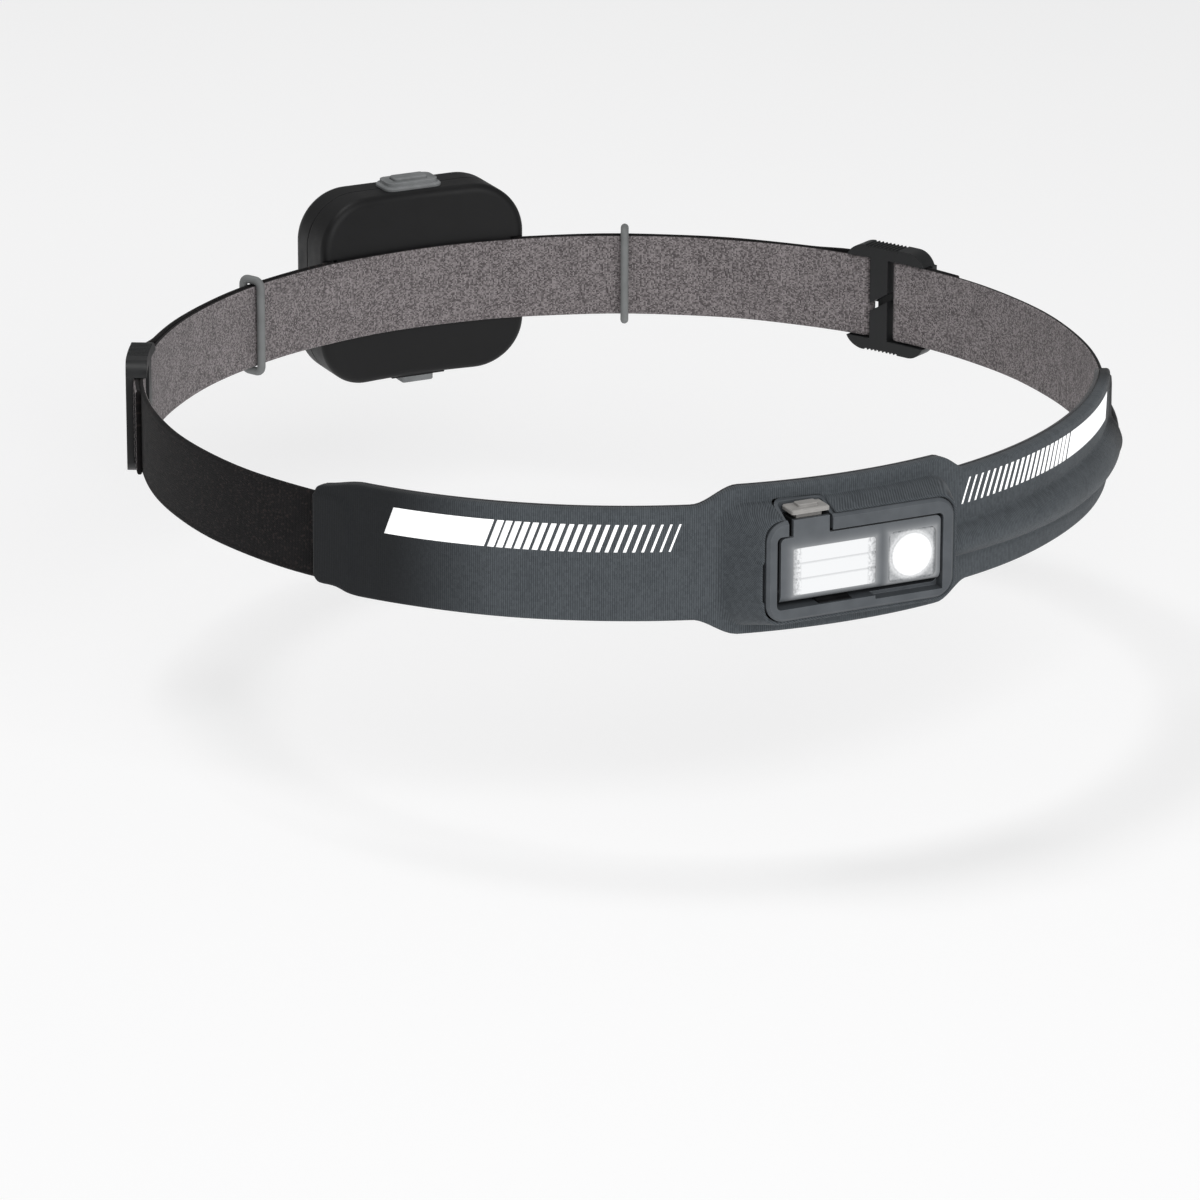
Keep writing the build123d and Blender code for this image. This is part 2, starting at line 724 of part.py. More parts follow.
STRAP_LOW = -STRAP_W / 2
STRAP_HIGH = STRAP_W / 2
OUTER_LAYER = LOOP_R + 2 * TURN_R
SEWN_R = LOOP_R + STRAP_T - 0.2
HALF_T = STRAP_T / 2
TAIL_DROPS = 124.4
TAIL_LANDS = 129.5


def strap_ramp(from_radius, from_deg, to_radius, to_deg):
    """Length of strap that changes its distance from the head."""
    start_in = around(from_radius - HALF_T, from_deg)[:2]
    start_out = around(from_radius + HALF_T, from_deg)[:2]
    end_in = around(to_radius - HALF_T, to_deg)[:2]
    end_out = around(to_radius + HALF_T, to_deg)[:2]
    turn = 1 if to_deg > from_deg else -1
    start_dir = (turn * cos(radians(from_deg)), turn * sin(radians(from_deg)))
    end_dir = (turn * cos(radians(to_deg)), turn * sin(radians(to_deg)))
    with BuildPart() as piece:
        with BuildSketch(Plane.XY.offset(STRAP_LOW)):
            with BuildLine():
                Spline(start_in, end_in, tangents=(start_dir, end_dir))
                Spline(start_out, end_out, tangents=(start_dir, end_dir))
                Line(start_in, start_out)
                Line(end_in, end_out)
            make_face()
        extrude(amount=STRAP_W)
    return piece.part


def strap_run(radius, start, end):
    """Length of strap that keeps its distance from the head."""
    return band(radius - HALF_T, radius + HALF_T, start, end, STRAP_LOW, STRAP_HIGH)


with BuildPart() as strap_front_right:
    add(strap_run(LOOP_R, PANEL_END - POCKET_DEPTH + 0.3, FRONT_TURN))
    add(strap_turn(FRONT_TURN, 1))
    add(strap_run(OUTER_LAYER, FRONT_BAR_END, FRONT_TURN))
    add(strap_ramp(OUTER_LAYER, FRONT_BAR_END, SEWN_R, SEWN_TO))
    add(strap_run(SEWN_R, SEWN_FROM, SEWN_TO))
finish(strap_front_right.part, "strap_front_right")

with BuildPart() as strap_front_left:
    mirror(strap_front_right.part, about=Plane.YZ)
finish(strap_front_left.part, "strap_front_left")

with BuildPart() as rear_strap:
    add(strap_run(LOOP_R, REAR_TURN, 360 - REAR_TURN))
    add(strap_turn(REAR_TURN, -1))
    add(strap_run(OUTER_LAYER, REAR_TURN, TAIL_DROPS))
    add(strap_ramp(OUTER_LAYER, TAIL_DROPS, TAIL_R, TAIL_LANDS))
    add(strap_run(TAIL_R, TAIL_LANDS, STRAP_ANCHOR))
    mirror(about=Plane.YZ)
finish(rear_strap.part, "rear_strap")


def slider():
    """Slider for the right side: a cross bar, two strap bars and a split middle bar."""
    half = SLIDER_L / 2
    bar_mid = LOOP_R + TURN_R
    bar_in = bar_mid - BAR_T / 2
    bar_out = bar_mid + BAR_T / 2
    with BuildPart() as piece:
        with BuildSketch(on_loop(CORE_R, SLIDER_MID)) as outline:
            Polygon(
                (-half, SLIDER_LOW),
                (half - SLIDER_SLOPE, SLIDER_LOW),
                (half, -SLOT_HALF - 0.9),
                (half, SLOT_HALF + 0.9),
                (half - SLIDER_SLOPE, SLIDER_HIGH),
                (-half, SLIDER_HIGH),
                align=None,
            )
            fillet(outline.vertices().group_by(Axis.Z)[0], radius=SLIDER_NOSE_R)
            # Grip teeth along the rear of both long edges
            for tooth in range(TOOTH_COUNT):
                along = TOOTH_FROM + tooth * TOOTH_PITCH
                with Locations((along, SLIDER_LOW), (along, SLIDER_HIGH)):
                    Circle(TOOTH_R, mode=Mode.SUBTRACT)
        extrude(amount=CORE_DEPTH)
        add(ring(SLIDER_IN, SLIDER_OUT, -RING_HALF, RING_HALF), mode=Mode.INTERSECT)
        add(ring(CORE_R, CUT_FRONT, -SLOT_HALF, SLOT_HALF), mode=Mode.SUBTRACT)
        add(band(bar_in, bar_out, FRONT_BAR_END, FRONT_TURN, -SLOT_HALF, SLOT_HALF))
        add(band(bar_in, bar_out, REAR_TURN, REAR_BAR_END, -SLOT_HALF, SLOT_HALF))
        for turn in (FRONT_TURN, REAR_TURN):
            add(rod(around(bar_mid, turn, -SLOT_HALF), around(bar_mid, turn, SLOT_HALF), BAR_T / 2))
        cross_bar = (CROSS_BAR_IN, SLIDER_OUT, CROSS_BAR_FROM, CROSS_BAR_TO)
        add(band(*cross_bar, -SLOT_HALF, SLOT_HALF))
        split_bar = (SLIDER_IN, SPLIT_BAR_OUT, SPLIT_BAR_FROM, SPLIT_BAR_TO)
        add(band(*split_bar, -SLOT_HALF, SLOT_HALF))
        # Slanting split in the middle bar
        split_mid = (SPLIT_BAR_FROM + SPLIT_BAR_TO) / 2
        with BuildSketch(on_loop(CORE_R, split_mid, -0.7)):
            Rectangle(7.2, SPLIT_GAP, rotation=SPLIT_TILT)
        extrude(amount=SPLIT_BAR_OUT + 0.2 - CORE_R, mode=Mode.SUBTRACT)
        # Web behind the split, on the side away from the head
        add(band(WEB_IN, SLIDER_OUT, WEB_FROM, WEB_TO, -SLOT_HALF, SLOT_HALF))
    return piece.part


right_slider = slider()
finish(right_slider, "slider_right")
left_slider = right_slider.mirror(Plane.YZ)
finish(left_slider, "slider_left")


def keeper(degrees):
    """Moulded loop that holds the strap's tail against the strap."""
    inner_r = STRAP_IN - 0.25
    outer_r = TAIL_R + HALF_T + 0.25
    depth = outer_r - inner_r
    height = STRAP_W + 0.7
    with BuildPart() as piece:
        plane = on_loop((inner_r + outer_r) / 2, degrees)
        with BuildSketch(Plane(origin=plane.origin, x_dir=plane.z_dir, z_dir=-plane.x_dir)):
            RectangleRounded(depth + 2 * KEEPER_WIRE, height + 2 * KEEPER_WIRE, 2.4)
            RectangleRounded(depth, height, 0.5, mode=Mode.SUBTRACT)
        extrude(amount=KEEPER_WIRE / 2, both=True)
        fillet(piece.edges().filter_by(GeomType.CIRCLE).group_by(SortBy.RADIUS)[-1], radius=0.4)
    return piece.part


finish(keeper(KEEPER_AT), "keeper_right")
finish(keeper(-KEEPER_AT), "keeper_left")

finish(cable(CABLE_R), "power_cable")

# ---------------------------------------------------------------- battery pack

with BuildPart() as pack_envelope:
    add(rounded_block(PACK_W, PACK_H, PACK_R, -100, -PACK_OUT, 0, PACK_Z))
    fillet(faces().sort_by(Axis.Y)[-1].edges(), radius=PACK_EDGE)
    add(ring(50, PACK_IN, -RING_HALF, RING_HALF), mode=Mode.SUBTRACT)
    inner_face = faces().filter_by(GeomType.CYLINDER).sort_by(SortBy.AREA)[-1]
    fillet(inner_face.edges(), radius=PACK_INNER_EDGE)

with BuildPart() as pack_hollow:
    add(
        rounded_block(
            PACK_W - 2 * PACK_WALL,
            PACK_H - 2 * PACK_WALL,
            PACK_R - PACK_WALL,
            -100,
            -PACK_OUT + PACK_WALL,
            0,
            PACK_Z,
        )
    )
    fillet(faces().sort_by(Axis.Y)[-1].edges(), radius=PACK_EDGE - PACK_WALL)
    add(ring(50, PACK_IN + PACK_WALL, -RING_HALF, RING_HALF), mode=Mode.SUBTRACT)

PACK_SEAM = Plane.XZ.offset(-PACK_SPLIT)

with BuildPart() as pack_inner_shell:
    add(pack_envelope.part)
    add(pack_hollow.part, mode=Mode.SUBTRACT)
    split(bisect_by=PACK_SEAM, keep=Keep.TOP)
    # Slots for the strap tails in both cheeks
    for side in (-1, 1):
        tail_span = sorted((side * 160.0, side * (STRAP_ANCHOR + 0.4)))
        add(
            band(TAIL_R - HALF_T - 0.6, TAIL_R + HALF_T + 0.1, *tail_span, -10.3, 10.3),
            mode=Mode.SUBTRACT,
        )
    # Cable entry and charging port opening
    add(
        rod((20, PACK_SPLIT - 2, CABLE_Z), (30, PACK_SPLIT - 2, CABLE_Z), GROMMET_BORE),
        mode=Mode.SUBTRACT,
    )
    add(block(-7.0, 7.0, -113.0, -PACK_SPLIT, PACK_LOW - LIP_T, PACK_LOW + 1))
    add(block(-4.7, 4.7, -113.8, -117.2, -30, -19), mode=Mode.SUBTRACT)
    # Stem hole under the button
    stem_slot = (-SWITCH_SLOT_HALF, SWITCH_SLOT_HALF, -116.9, -119.5, 20, 30)
    add(block(*stem_slot), mode=Mode.SUBTRACT)
    for spot in POST_SPOTS:
        add(stud(spot, PACK_IN - 2, PACK_SPLIT, POST_R))
    add(ring(50, PACK_IN, -RING_HALF, RING_HALF), mode=Mode.SUBTRACT)
    for spot in POST_SPOTS:
        add(stud(spot, CORE_R, CUT_FRONT, PACK_SCREW_R + 0.05), mode=Mode.SUBTRACT)
        add(stud(spot, CORE_R, PACK_SCREW_SEAT, PACK_SCREW_HEAD_R + 0.1), mode=Mode.SUBTRACT)
finish(pack_inner_shell.part, "pack_inner_shell")

with BuildPart() as pack_outer_shell:
    add(pack_envelope.part)
    add(pack_hollow.part, mode=Mode.SUBTRACT)
    split(bisect_by=PACK_SEAM.offset(-SEAM_T), keep=Keep.BOTTOM)
    # Tail light window
    add(rounded_block(RED_W + 0.2, RED_H + 0.2, 2.1, -120, -130, 0, PACK_Z), mode=Mode.SUBTRACT)
    add(block(*stem_slot), mode=Mode.SUBTRACT)
    for spot in POST_SPOTS:
        add(stud(spot, PACK_SPLIT + SEAM_T, PACK_OUT - 1.4, POST_R))
        add(stud(spot, CORE_R, PACK_SCREW_TIP + 0.5, PACK_SCREW_R + 0.02), mode=Mode.SUBTRACT)
finish(pack_outer_shell.part, "pack_outer_shell")

with BuildPart() as pack_gasket:
    for inset, mode in ((SEAM_STEP, Mode.ADD), (SEAM_W, Mode.SUBTRACT)):
        size = (PACK_W - 2 * inset, PACK_H - 2 * inset, PACK_R - inset)
        add(rounded_block(*size, -PACK_SPLIT, -PACK_SPLIT - SEAM_T, 0, PACK_Z), mode=mode)
    add(block(*stem_slot), mode=Mode.SUBTRACT)
finish(pack_gasket.part, "pack_gasket")

with BuildPart() as pack_screws:
    for spot in POST_SPOTS:
        add(stud(spot, PACK_SCREW_SEAT - 1.2, PACK_SCREW_SEAT, PACK_SCREW_HEAD_R))
        add(stud(spot, PACK_SCREW_SEAT, PACK_SCREW_TIP, PACK_SCREW_R))
finish(pack_screws.part, "pack_screws")

with BuildPart() as battery_cell:
    add(rounded_block(34, 30, 1.5, -114.0, -121.4, 0, 2))
    fillet(edges().filter_by(Axis.Z), radius=1.2)
finish(battery_cell.part, "battery_cell")

with BuildPart() as pack_board:
    add(rounded_block(34, 38, 1, -122.1, -123.1, 0, PACK_Z))
finish(pack_board.part, "pack_board")

with BuildPart() as red_leds:
    for column in (-1, 1):
        add(block(column * 7 - 1.5, column * 7 + 1.5, -123.12, -123.8, PACK_Z - 1.5, PACK_Z + 1.5))
finish(red_leds.part, "red_leds")

with BuildPart() as red_lens:
    add(rounded_block(RED_W, RED_H, 2, -125.4, -PACK_OUT, 0, PACK_Z))
    add(rounded_block(RED_W + 1.4, RED_H + 1.4, 2.6, -124.8, -125.75, 0, PACK_Z))
finish(red_lens.part, "red_lens")

with BuildPart() as usb_board:
    add(block(-8, 8, -117.1, -117.9, -20.4, -13.6))
finish(usb_board.part, "usb_board")

with BuildPart() as usb_port:
    add(rounded_block(9.0, 7.0, 0.2, -113.9, -117.05, 0, -17.4))
    with BuildSketch(Plane.XY.offset(-21)):
        with Locations((0, USB_Y)):
            RectangleRounded(8.4, 2.5, 1.2)
    extrude(amount=6, mode=Mode.SUBTRACT)
finish(usb_port.part, "usb_port")

with BuildPart() as usb_cover:
    cover_top = PACK_LOW - LIP_T - 0.1
    with BuildSketch(Plane.XY.offset(cover_top - USB_COVER_T)):
        with Locations((0, USB_Y)):
            RectangleRounded(8.4, 4.8, 0.8)
    extrude(amount=USB_COVER_T)
    chamfer(faces().sort_by(Axis.Z)[0].edges(), length=0.25)
    with BuildSketch(Plane.XY.offset(cover_top)):
        with Locations((0, USB_Y + 0.05)):
            RectangleRounded(7.6, 1.7, 0.8)
    extrude(amount=1.9)
    add(block(-3.0, 3.0, -117.4, -119.1, cover_top - 0.7, cover_top - 0.1))
finish(usb_cover.part, "usb_cover")

with BuildPart() as pack_button_frame:
    with BuildSketch(Plane.XY.offset(PACK_HIGH)):
        with Locations((0, PACK_BUTTON_Y)):
            RectangleRounded(15.0, 8.6, 2.2)
    extrude(amount=0.9)
    chamfer(faces().sort_by(Axis.Z)[-1].edges(), length=0.35)
    with BuildSketch(Plane.XY.offset(PACK_HIGH + 0.8)):
        with Locations((0, PACK_BUTTON_Y)):
            RectangleRounded(13.4, 6.8, 1.8)
    extrude(amount=1.0)
    with BuildSketch(Plane.XY.offset(PACK_HIGH - 1)):
        with Locations((0, PACK_BUTTON_Y)):
            RectangleRounded(9.0, 4.2, 1.0)
    extrude(amount=5, mode=Mode.SUBTRACT)
finish(pack_button_frame.part, "pack_button_frame")

with BuildPart() as pack_button:
    with BuildSketch(Plane.XY.offset(PACK_HIGH + 1.2)):
        with Locations((0, PACK_BUTTON_Y)):
            RectangleRounded(8.7, 3.9, 0.85)
    extrude(amount=1.3)
    chamfer(faces().sort_by(Axis.Z)[-1].edges(), length=0.25)
    add(block(-PACK_STEM_HALF, PACK_STEM_HALF, -117.2, -118.7, 21.3, PACK_HIGH + 1.3))
finish(pack_button.part, "pack_button")

with BuildPart() as pack_switch:
    add(block(-3, 3, -116.8, -121.9, 17.6, 19.6))
    add(rod((0, PACK_BUTTON_Y - 0.3, 19.6), (0, PACK_BUTTON_Y - 0.3, 20.2), 1.0))
finish(pack_switch.part, "pack_switch")

with BuildPart() as cable_strain_relief:
    for reach, width in (((-2.4, 0), GROMMET_R), ((0, 0.8), GROMMET_R + 0.4)):
        ends = [(PACK_W / 2 + step, PACK_SPLIT - 2, CABLE_Z) for step in reach]
        add(rod(*ends, width))
    add(cable(CABLE_R + 0.02), mode=Mode.SUBTRACT)
finish(cable_strain_relief.part, "cable_strain_relief")
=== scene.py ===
import json
import math

import bmesh
import bpy
import numpy as np
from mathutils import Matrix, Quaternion, Vector


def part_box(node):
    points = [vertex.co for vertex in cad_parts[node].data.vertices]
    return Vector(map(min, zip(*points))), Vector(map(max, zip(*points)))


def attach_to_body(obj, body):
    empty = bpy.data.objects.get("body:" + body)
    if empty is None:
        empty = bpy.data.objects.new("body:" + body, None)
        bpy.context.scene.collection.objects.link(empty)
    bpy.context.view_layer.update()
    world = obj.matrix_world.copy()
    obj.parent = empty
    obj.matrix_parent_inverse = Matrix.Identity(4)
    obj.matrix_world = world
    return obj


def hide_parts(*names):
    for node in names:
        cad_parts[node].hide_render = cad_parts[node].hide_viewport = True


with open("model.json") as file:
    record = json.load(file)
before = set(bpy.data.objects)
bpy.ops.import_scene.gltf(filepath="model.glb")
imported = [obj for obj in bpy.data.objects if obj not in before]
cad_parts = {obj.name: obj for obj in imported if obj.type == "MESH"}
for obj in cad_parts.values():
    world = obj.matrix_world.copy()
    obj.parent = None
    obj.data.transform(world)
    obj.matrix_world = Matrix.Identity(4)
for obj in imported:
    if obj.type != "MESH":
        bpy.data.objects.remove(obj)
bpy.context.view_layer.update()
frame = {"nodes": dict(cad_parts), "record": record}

# The looks of a running headlamp round its CAD frame. Lengths here are in millimetres and turn
# into metres as each mesh is made. +Z is up, the lamp faces -Y. Loop angles are in degrees from
# the forehead (-Y), positive towards +X.
MM = 0.001


def node_box(name):
    """Lowest and highest corner of a CAD node in millimetres."""
    low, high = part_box(name)
    return np.array(low) / MM, np.array(high) / MM


strap_low, strap_high = node_box("rear_strap")
panel_low, panel_high = node_box("front_panel")
lining_low = node_box("forehead_lining")[0]
flood_low, flood_high = node_box("flood_lens")
spot_low, spot_high = node_box("spot_lens")

# Strap
STRAP_T = 1.2
STRAP_W = strap_high[2] - strap_low[2]
LINING_OUT = -lining_low[1]
STRAP_R = LINING_OUT + 0.1 + STRAP_T / 2
TURN_R = 1.6
OUTER_R = STRAP_R + 2 * TURN_R
TAIL_R = STRAP_R + 1.6
SEWN_R = STRAP_R + 1.25
SELVEDGE = 0.02
KEEPER_WIRE = 2.0
KEEPER_BEND = 1.5

# Strap: loop angles of its turns, returned ends, stitching and keepers
FRONT_TURN = 116.5
RETURN_TO = 115.6
SEWN_FROM = 113.3
SEWN_TO = 107.6
TACKS_AT = (108.3, 109.9)
REAR_TURN = 121.8
TAIL_TURN = 124.4
TAIL_LAID = 129.5
TAIL_END = 167.6
KEEPER_AT = 153.5

# Panel: its outer face, edges, and the loop angles of its wide field's shoulders and its ends
PANEL_R = 112.4
BACK_R = 110.05
ROLL = 0.8
CORNER_R = 1.3
CLOTH_T = 0.45
WING_LOW = -11.85
WING_HIGH = 13.9
FIELD_LOW = panel_low[2]
FIELD_HIGH = panel_high[2]
FIELD_LEFT = (-18.3, -13.0)
FIELD_RIGHT = (12.2, 16.6)
PANEL_END = 63.3
FLARE_FROM = 57.0
COLLAR_LEFT = -36.0
COLLAR_RIGHT = 33.0

# Forehead pad
PAD_ROLL = 0.5
PAD_GAP = 0.3
PAD_CROWN = 0.22
SEAM_DEPTH = 0.24

# Dome round the lamp. Boxes are left, right, low, high and corner radius.
LIP_ROLL = 0.4
LIP_DEPTH = 117.6
LIP_BOX = (-23.85, 23.85, -11.8, 12.75, 4.6)
FOOT_BOX = (-30.8, 26.9, -13.6, 14.8, 6.5)
TOP_LEFT = -19.25
TOP_RIGHT = 19.0
SIDE_LOW = -6.6
SIDE_HIGH = 7.3
NOTCH_LEFT = -19.0
NOTCH_RIGHT = -6.05
NOTCH_Z = 15.2
NOTCH_R = 1.6
NOTCH_WALL = 0.1

# Counts of points on the collar between the panel's outline and the dome's lip
CORNER_STEPS = 14
CORNER_SPLIT = 62
SIDE_STEPS = 40
FIELD_RINGS = 7
DOME_RINGS = 14
WING_COLUMNS = 80

# Cable channel on the right wing
HUMP_H = 3.1
HUMP_Z = -2.0
HUMP_HALF = 3.6
HUMP_FROM = 11.0
HUMP_TO = 60.6


# ---- geometry helpers


def smooth(low, high, value):
    """0 below low, 1 above high and a soft turn between them."""
    t = np.clip((np.asarray(value, float) - low) / (high - low), 0, 1)
    return t * t * (3 - 2 * t)


def on_loop(radius, degrees, z):
    """Points at loop angles, as an array whose last axis is x, y, z."""
    turn = np.radians(degrees)
    x = radius * np.sin(turn)
    y = -radius * np.cos(turn)
    return np.stack(np.broadcast_arrays(x, y, z), axis=-1).astype(float)


def axes_at(degrees):
    """Unit vectors along the loop and outwards at a loop angle."""
    sine, cosine = math.sin(math.radians(degrees)), math.cos(math.radians(degrees))
    return np.array([cosine, sine, 0.0]), np.array([sine, -cosine, 0.0])


def angle_of(x):
    """Loop angle of a point on the panel's face."""
    return np.degrees(np.arcsin(np.asarray(x, float) / PANEL_R))


def run_along(points):
    """Distance of each point from the first, along a polyline."""
    return np.r_[0, np.cumsum(np.linalg.norm(np.diff(points, axis=0), axis=1))]


def resample(points, count):
    """count + 1 points evenly along a polyline."""
    points = np.asarray(points, float)
    run = run_along(points)
    at = np.linspace(0, run[-1], count + 1)
    return np.stack([np.interp(at, run, points[:, k]) for k in range(points.shape[1])], axis=1)


def arc(centre, radius, start, end, count):
    """Points along a plane arc, angles in degrees."""
    turn = np.radians(np.linspace(start, end, count + 1))
    return np.stack([centre[0] + radius * np.cos(turn), centre[1] + radius * np.sin(turn)], axis=1)


def cloth_coordinates(obj):
    """Stores distance along the loop, height over the panel's face and z, and returns them in mm."""
    co = np.array([v.co for v in obj.data.vertices], float)
    radius = np.hypot(co[:, 0], co[:, 1])
    along = np.arctan2(co[:, 0], -co[:, 1]) * PANEL_R * MM
    place = np.stack([along, radius - PANEL_R * MM, co[:, 2]], axis=1)
    store(obj, "cloth", place)
    return place / MM


def store(obj, name, values):
    """Stores a number or a vector for each vertex."""
    values = np.asarray(values, np.float32)
    kind, field = ("FLOAT", "value") if values.ndim == 1 else ("FLOAT_VECTOR", "vector")
    layer = obj.data.attributes.new(name, kind, "POINT")
    layer.data.foreach_set(field, values.ravel())


def new_object(name, vertices, faces, materials, face_slots=None):
    """Mesh object from points in millimetres, shaded smooth."""
    mesh = bpy.data.meshes.new(name)
    mesh.from_pydata((np.asarray(vertices, float) * MM).tolist(), [], faces)
    for material in materials:
        mesh.materials.append(material)
    if face_slots is not None:
        mesh.polygons.foreach_set("material_index", face_slots)
    mesh.polygons.foreach_set("use_smooth", [True] * len(mesh.polygons))
    mesh.update()
    obj = bpy.data.objects.new(name, mesh)
    bpy.context.scene.collection.objects.link(obj)
    return obj


def grid_faces(rows, columns, start=0, wrap=False):
    """Quads of a grid of points stored row by row; wrap closes each row."""
    faces = []
    for row in range(rows - 1):
        for column in range(columns if wrap else columns - 1):
            following = (column + 1) % columns
            a = start + row * columns
            b = a + columns
            faces.append((a + column, a + following, b + following, b + column))
    return faces


def fix_normals(obj):
    """Turns every face outwards."""
    mesh = bmesh.new()
    mesh.from_mesh(obj.data)
    bmesh.ops.recalc_face_normals(mesh, faces=mesh.faces)
    mesh.to_mesh(obj.data)
    mesh.free()


def attach(obj, body, node):
    """Rides on a body in place of a soft CAD node."""
    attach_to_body(obj, body)
    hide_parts(node)


# ---- materials


def linear(red, green, blue):
    """Colour given on the 0-255 screen scale, as linear light."""
    def channel(value):
        share = value / 255
        return share / 12.92 if share <= 0.04045 else ((share + 0.055) / 1.055) ** 2.4

    return (channel(red), channel(green), channel(blue), 1.0)


class Look:
    """A node material being built."""

    def __init__(self, start):
        """Starts on a new material of this name, or goes on with a material."""
        self.material = bpy.data.materials.new(start) if isinstance(start, str) else start
        self.material.use_nodes = True
        self.tree = self.material.node_tree
        self.shader = self.tree.nodes["Principled BSDF"]

    def put(self, socket, value):
        if isinstance(value, bpy.types.NodeSocket):
            self.tree.links.new(value, socket)
        else:
            socket.default_value = value

    def add(self, kind, inputs=(), **settings):
        """New node with its inputs set or linked, by name or in order."""
        node = self.tree.nodes.new(kind)
        for key, value in settings.items():
            setattr(node, key, value)
        for key, value in inputs.items() if isinstance(inputs, dict) else enumerate(inputs):
            self.put(node.inputs[key], value)
        return node

    def math(self, operation, *values):
        return self.add("ShaderNodeMath", values, operation=operation).outputs[0]

    def times(self, *values):
        return self.math("MULTIPLY", *values)

    def plus(self, *values):
        return self.math("ADD", *values)

    def minus(self, *values):
        return self.math("SUBTRACT", *values)

    def over(self, *values):
        return self.math("DIVIDE", *values)

    def size(self, value):
        return self.math("ABSOLUTE", value)

    def product_plus(self, *values):
        """First times second, plus third."""
        return self.math("MULTIPLY_ADD", *values)

    def ridge(self, value):
        """Rounded ridges, one to each unit."""
        return self.size(self.math("SINE", self.times(value, math.pi)))

    def wave(self, value, pitch):
        return self.math("SINE", self.times(value, 2 * math.pi / pitch))

    def vector(self, operation, *values):
        outputs = self.add("ShaderNodeVectorMath", values, operation=operation).outputs
        return outputs["Value" if operation in ("LENGTH", "DOT_PRODUCT") else "Vector"]

    def blend(self, factor, first, second, mode="MIX"):
        inputs = {0: factor, 6: first, 7: second}
        return self.add("ShaderNodeMix", inputs, data_type="RGBA", blend_type=mode).outputs[2]

    def tint(self, value, first, second, low=0.3, high=0.7):
        """From one screen colour to another as a value goes from low to high."""
        return self.blend(self.span(value, low, high), linear(*first), linear(*second))

    def span(self, value, low, high, to_low=0.0, to_high=1.0):
        """Value rescaled smoothly from one range to another."""
        values = (value, low, high, to_low, to_high)
        return self.add("ShaderNodeMapRange", values, interpolation_type="SMOOTHSTEP").outputs[0]

    def noise(self, coordinates, scale, detail=2.0, roughness=0.5):
        inputs = {"Vector": coordinates, "Scale": scale, "Detail": detail, "Roughness": roughness}
        return self.add("ShaderNodeTexNoise", inputs).outputs[0]

    def speckle(self, x, y):
        """A random value for each unit cell."""
        cell = self.add("ShaderNodeCombineXYZ", {"X": self.math("FLOOR", x), "Y": self.math("FLOOR", y)})
        return self.add("ShaderNodeTexWhiteNoise", {"Vector": cell.outputs[0]}).outputs["Value"]

    def cloth(self):
        """Pattern place along the loop, outwards and up, in millimetres."""
        stored = self.add("ShaderNodeAttribute", attribute_name="cloth").outputs["Vector"]
        return self.vector("MULTIPLY", stored, (1 / MM, 1 / MM, 1 / MM))

    def place(self):
        """Place in the object's own axes in millimetres."""
        source = self.add("ShaderNodeTexCoord").outputs["Object"]
        return self.vector("MULTIPLY", source, (1 / MM, 1 / MM, 1 / MM))

    def parts(self, vector):
        """The three numbers of a vector."""
        return tuple(self.add("ShaderNodeSeparateXYZ", {"Vector": vector}).outputs)

    def weave(self, along, up, width, height):
        """Woven cells shifted from column to column: columns, their random picks, their threads."""
        column = self.over(along, width)
        row = self.over(up, height)
        shifted = self.plus(row, self.times(self.math("FLOOR", column), 0.5))
        thread = self.times(self.ridge(column), self.ridge(shifted))
        return column, self.speckle(column, shifted), thread

    def bump(self, height, strength, distance, normal=None):
        inputs = {"Height": height, "Strength": strength, "Distance": distance * MM}
        if normal is not None:
            inputs["Normal"] = normal
        return self.add("ShaderNodeBump", inputs).outputs[0]

    def edges(self, radius):
        """Rounded-edge normal, and how near a point is to an edge."""
        soft = self.add("ShaderNodeBevel", {"Radius": radius * MM}, samples=6).outputs[0]
        true = self.add("ShaderNodeNewGeometry").outputs["Normal"]
        return soft, self.span(self.vector("DOT_PRODUCT", soft, true), 1.0, 0.86)

    def finish(self, **inputs):
        for key, value in inputs.items():
            self.put(self.shader.inputs[key.replace("_", " ")], value)
        return self.material


def heather_weave():
    """Warm grey heathered elastic: light and dark picks on fine cross ribs."""
    look = Look("heather_weave")
    spot = look.cloth()
    along, _, up = look.parts(spot)
    column, pick, thread = look.weave(along, up, 0.34, 0.32)
    long_row = look.plus(look.over(up, 2.6), look.times(look.math("FLOOR", column), 0.37))
    streak = look.speckle(column, long_row)
    mottle = look.noise(spot, 0.16, 3.0)
    tone = look.times(pick, 0.60)
    tone = look.product_plus(streak, 0.14, tone)
    tone = look.product_plus(mottle, 0.24, tone)
    colour = look.tint(tone, (84, 79, 80), (160, 153, 154), 0.10, 0.92)
    shade = look.span(thread, 0.0, 0.5, 0.72, 1.0)
    shaded = look.add("ShaderNodeCombineColor", {"Red": shade, "Green": shade, "Blue": shade}).outputs[0]
    colour = look.blend(1.0, colour, shaded, "MULTIPLY")
    normal = look.bump(look.product_plus(pick, 0.35, thread), 0.75, 0.12)
    return look.finish(
        Base_Color=colour, Roughness=0.92, Normal=normal, Specular_IOR_Level=0.12,
        Sheen_Weight=0.12, Sheen_Roughness=0.5,
    )


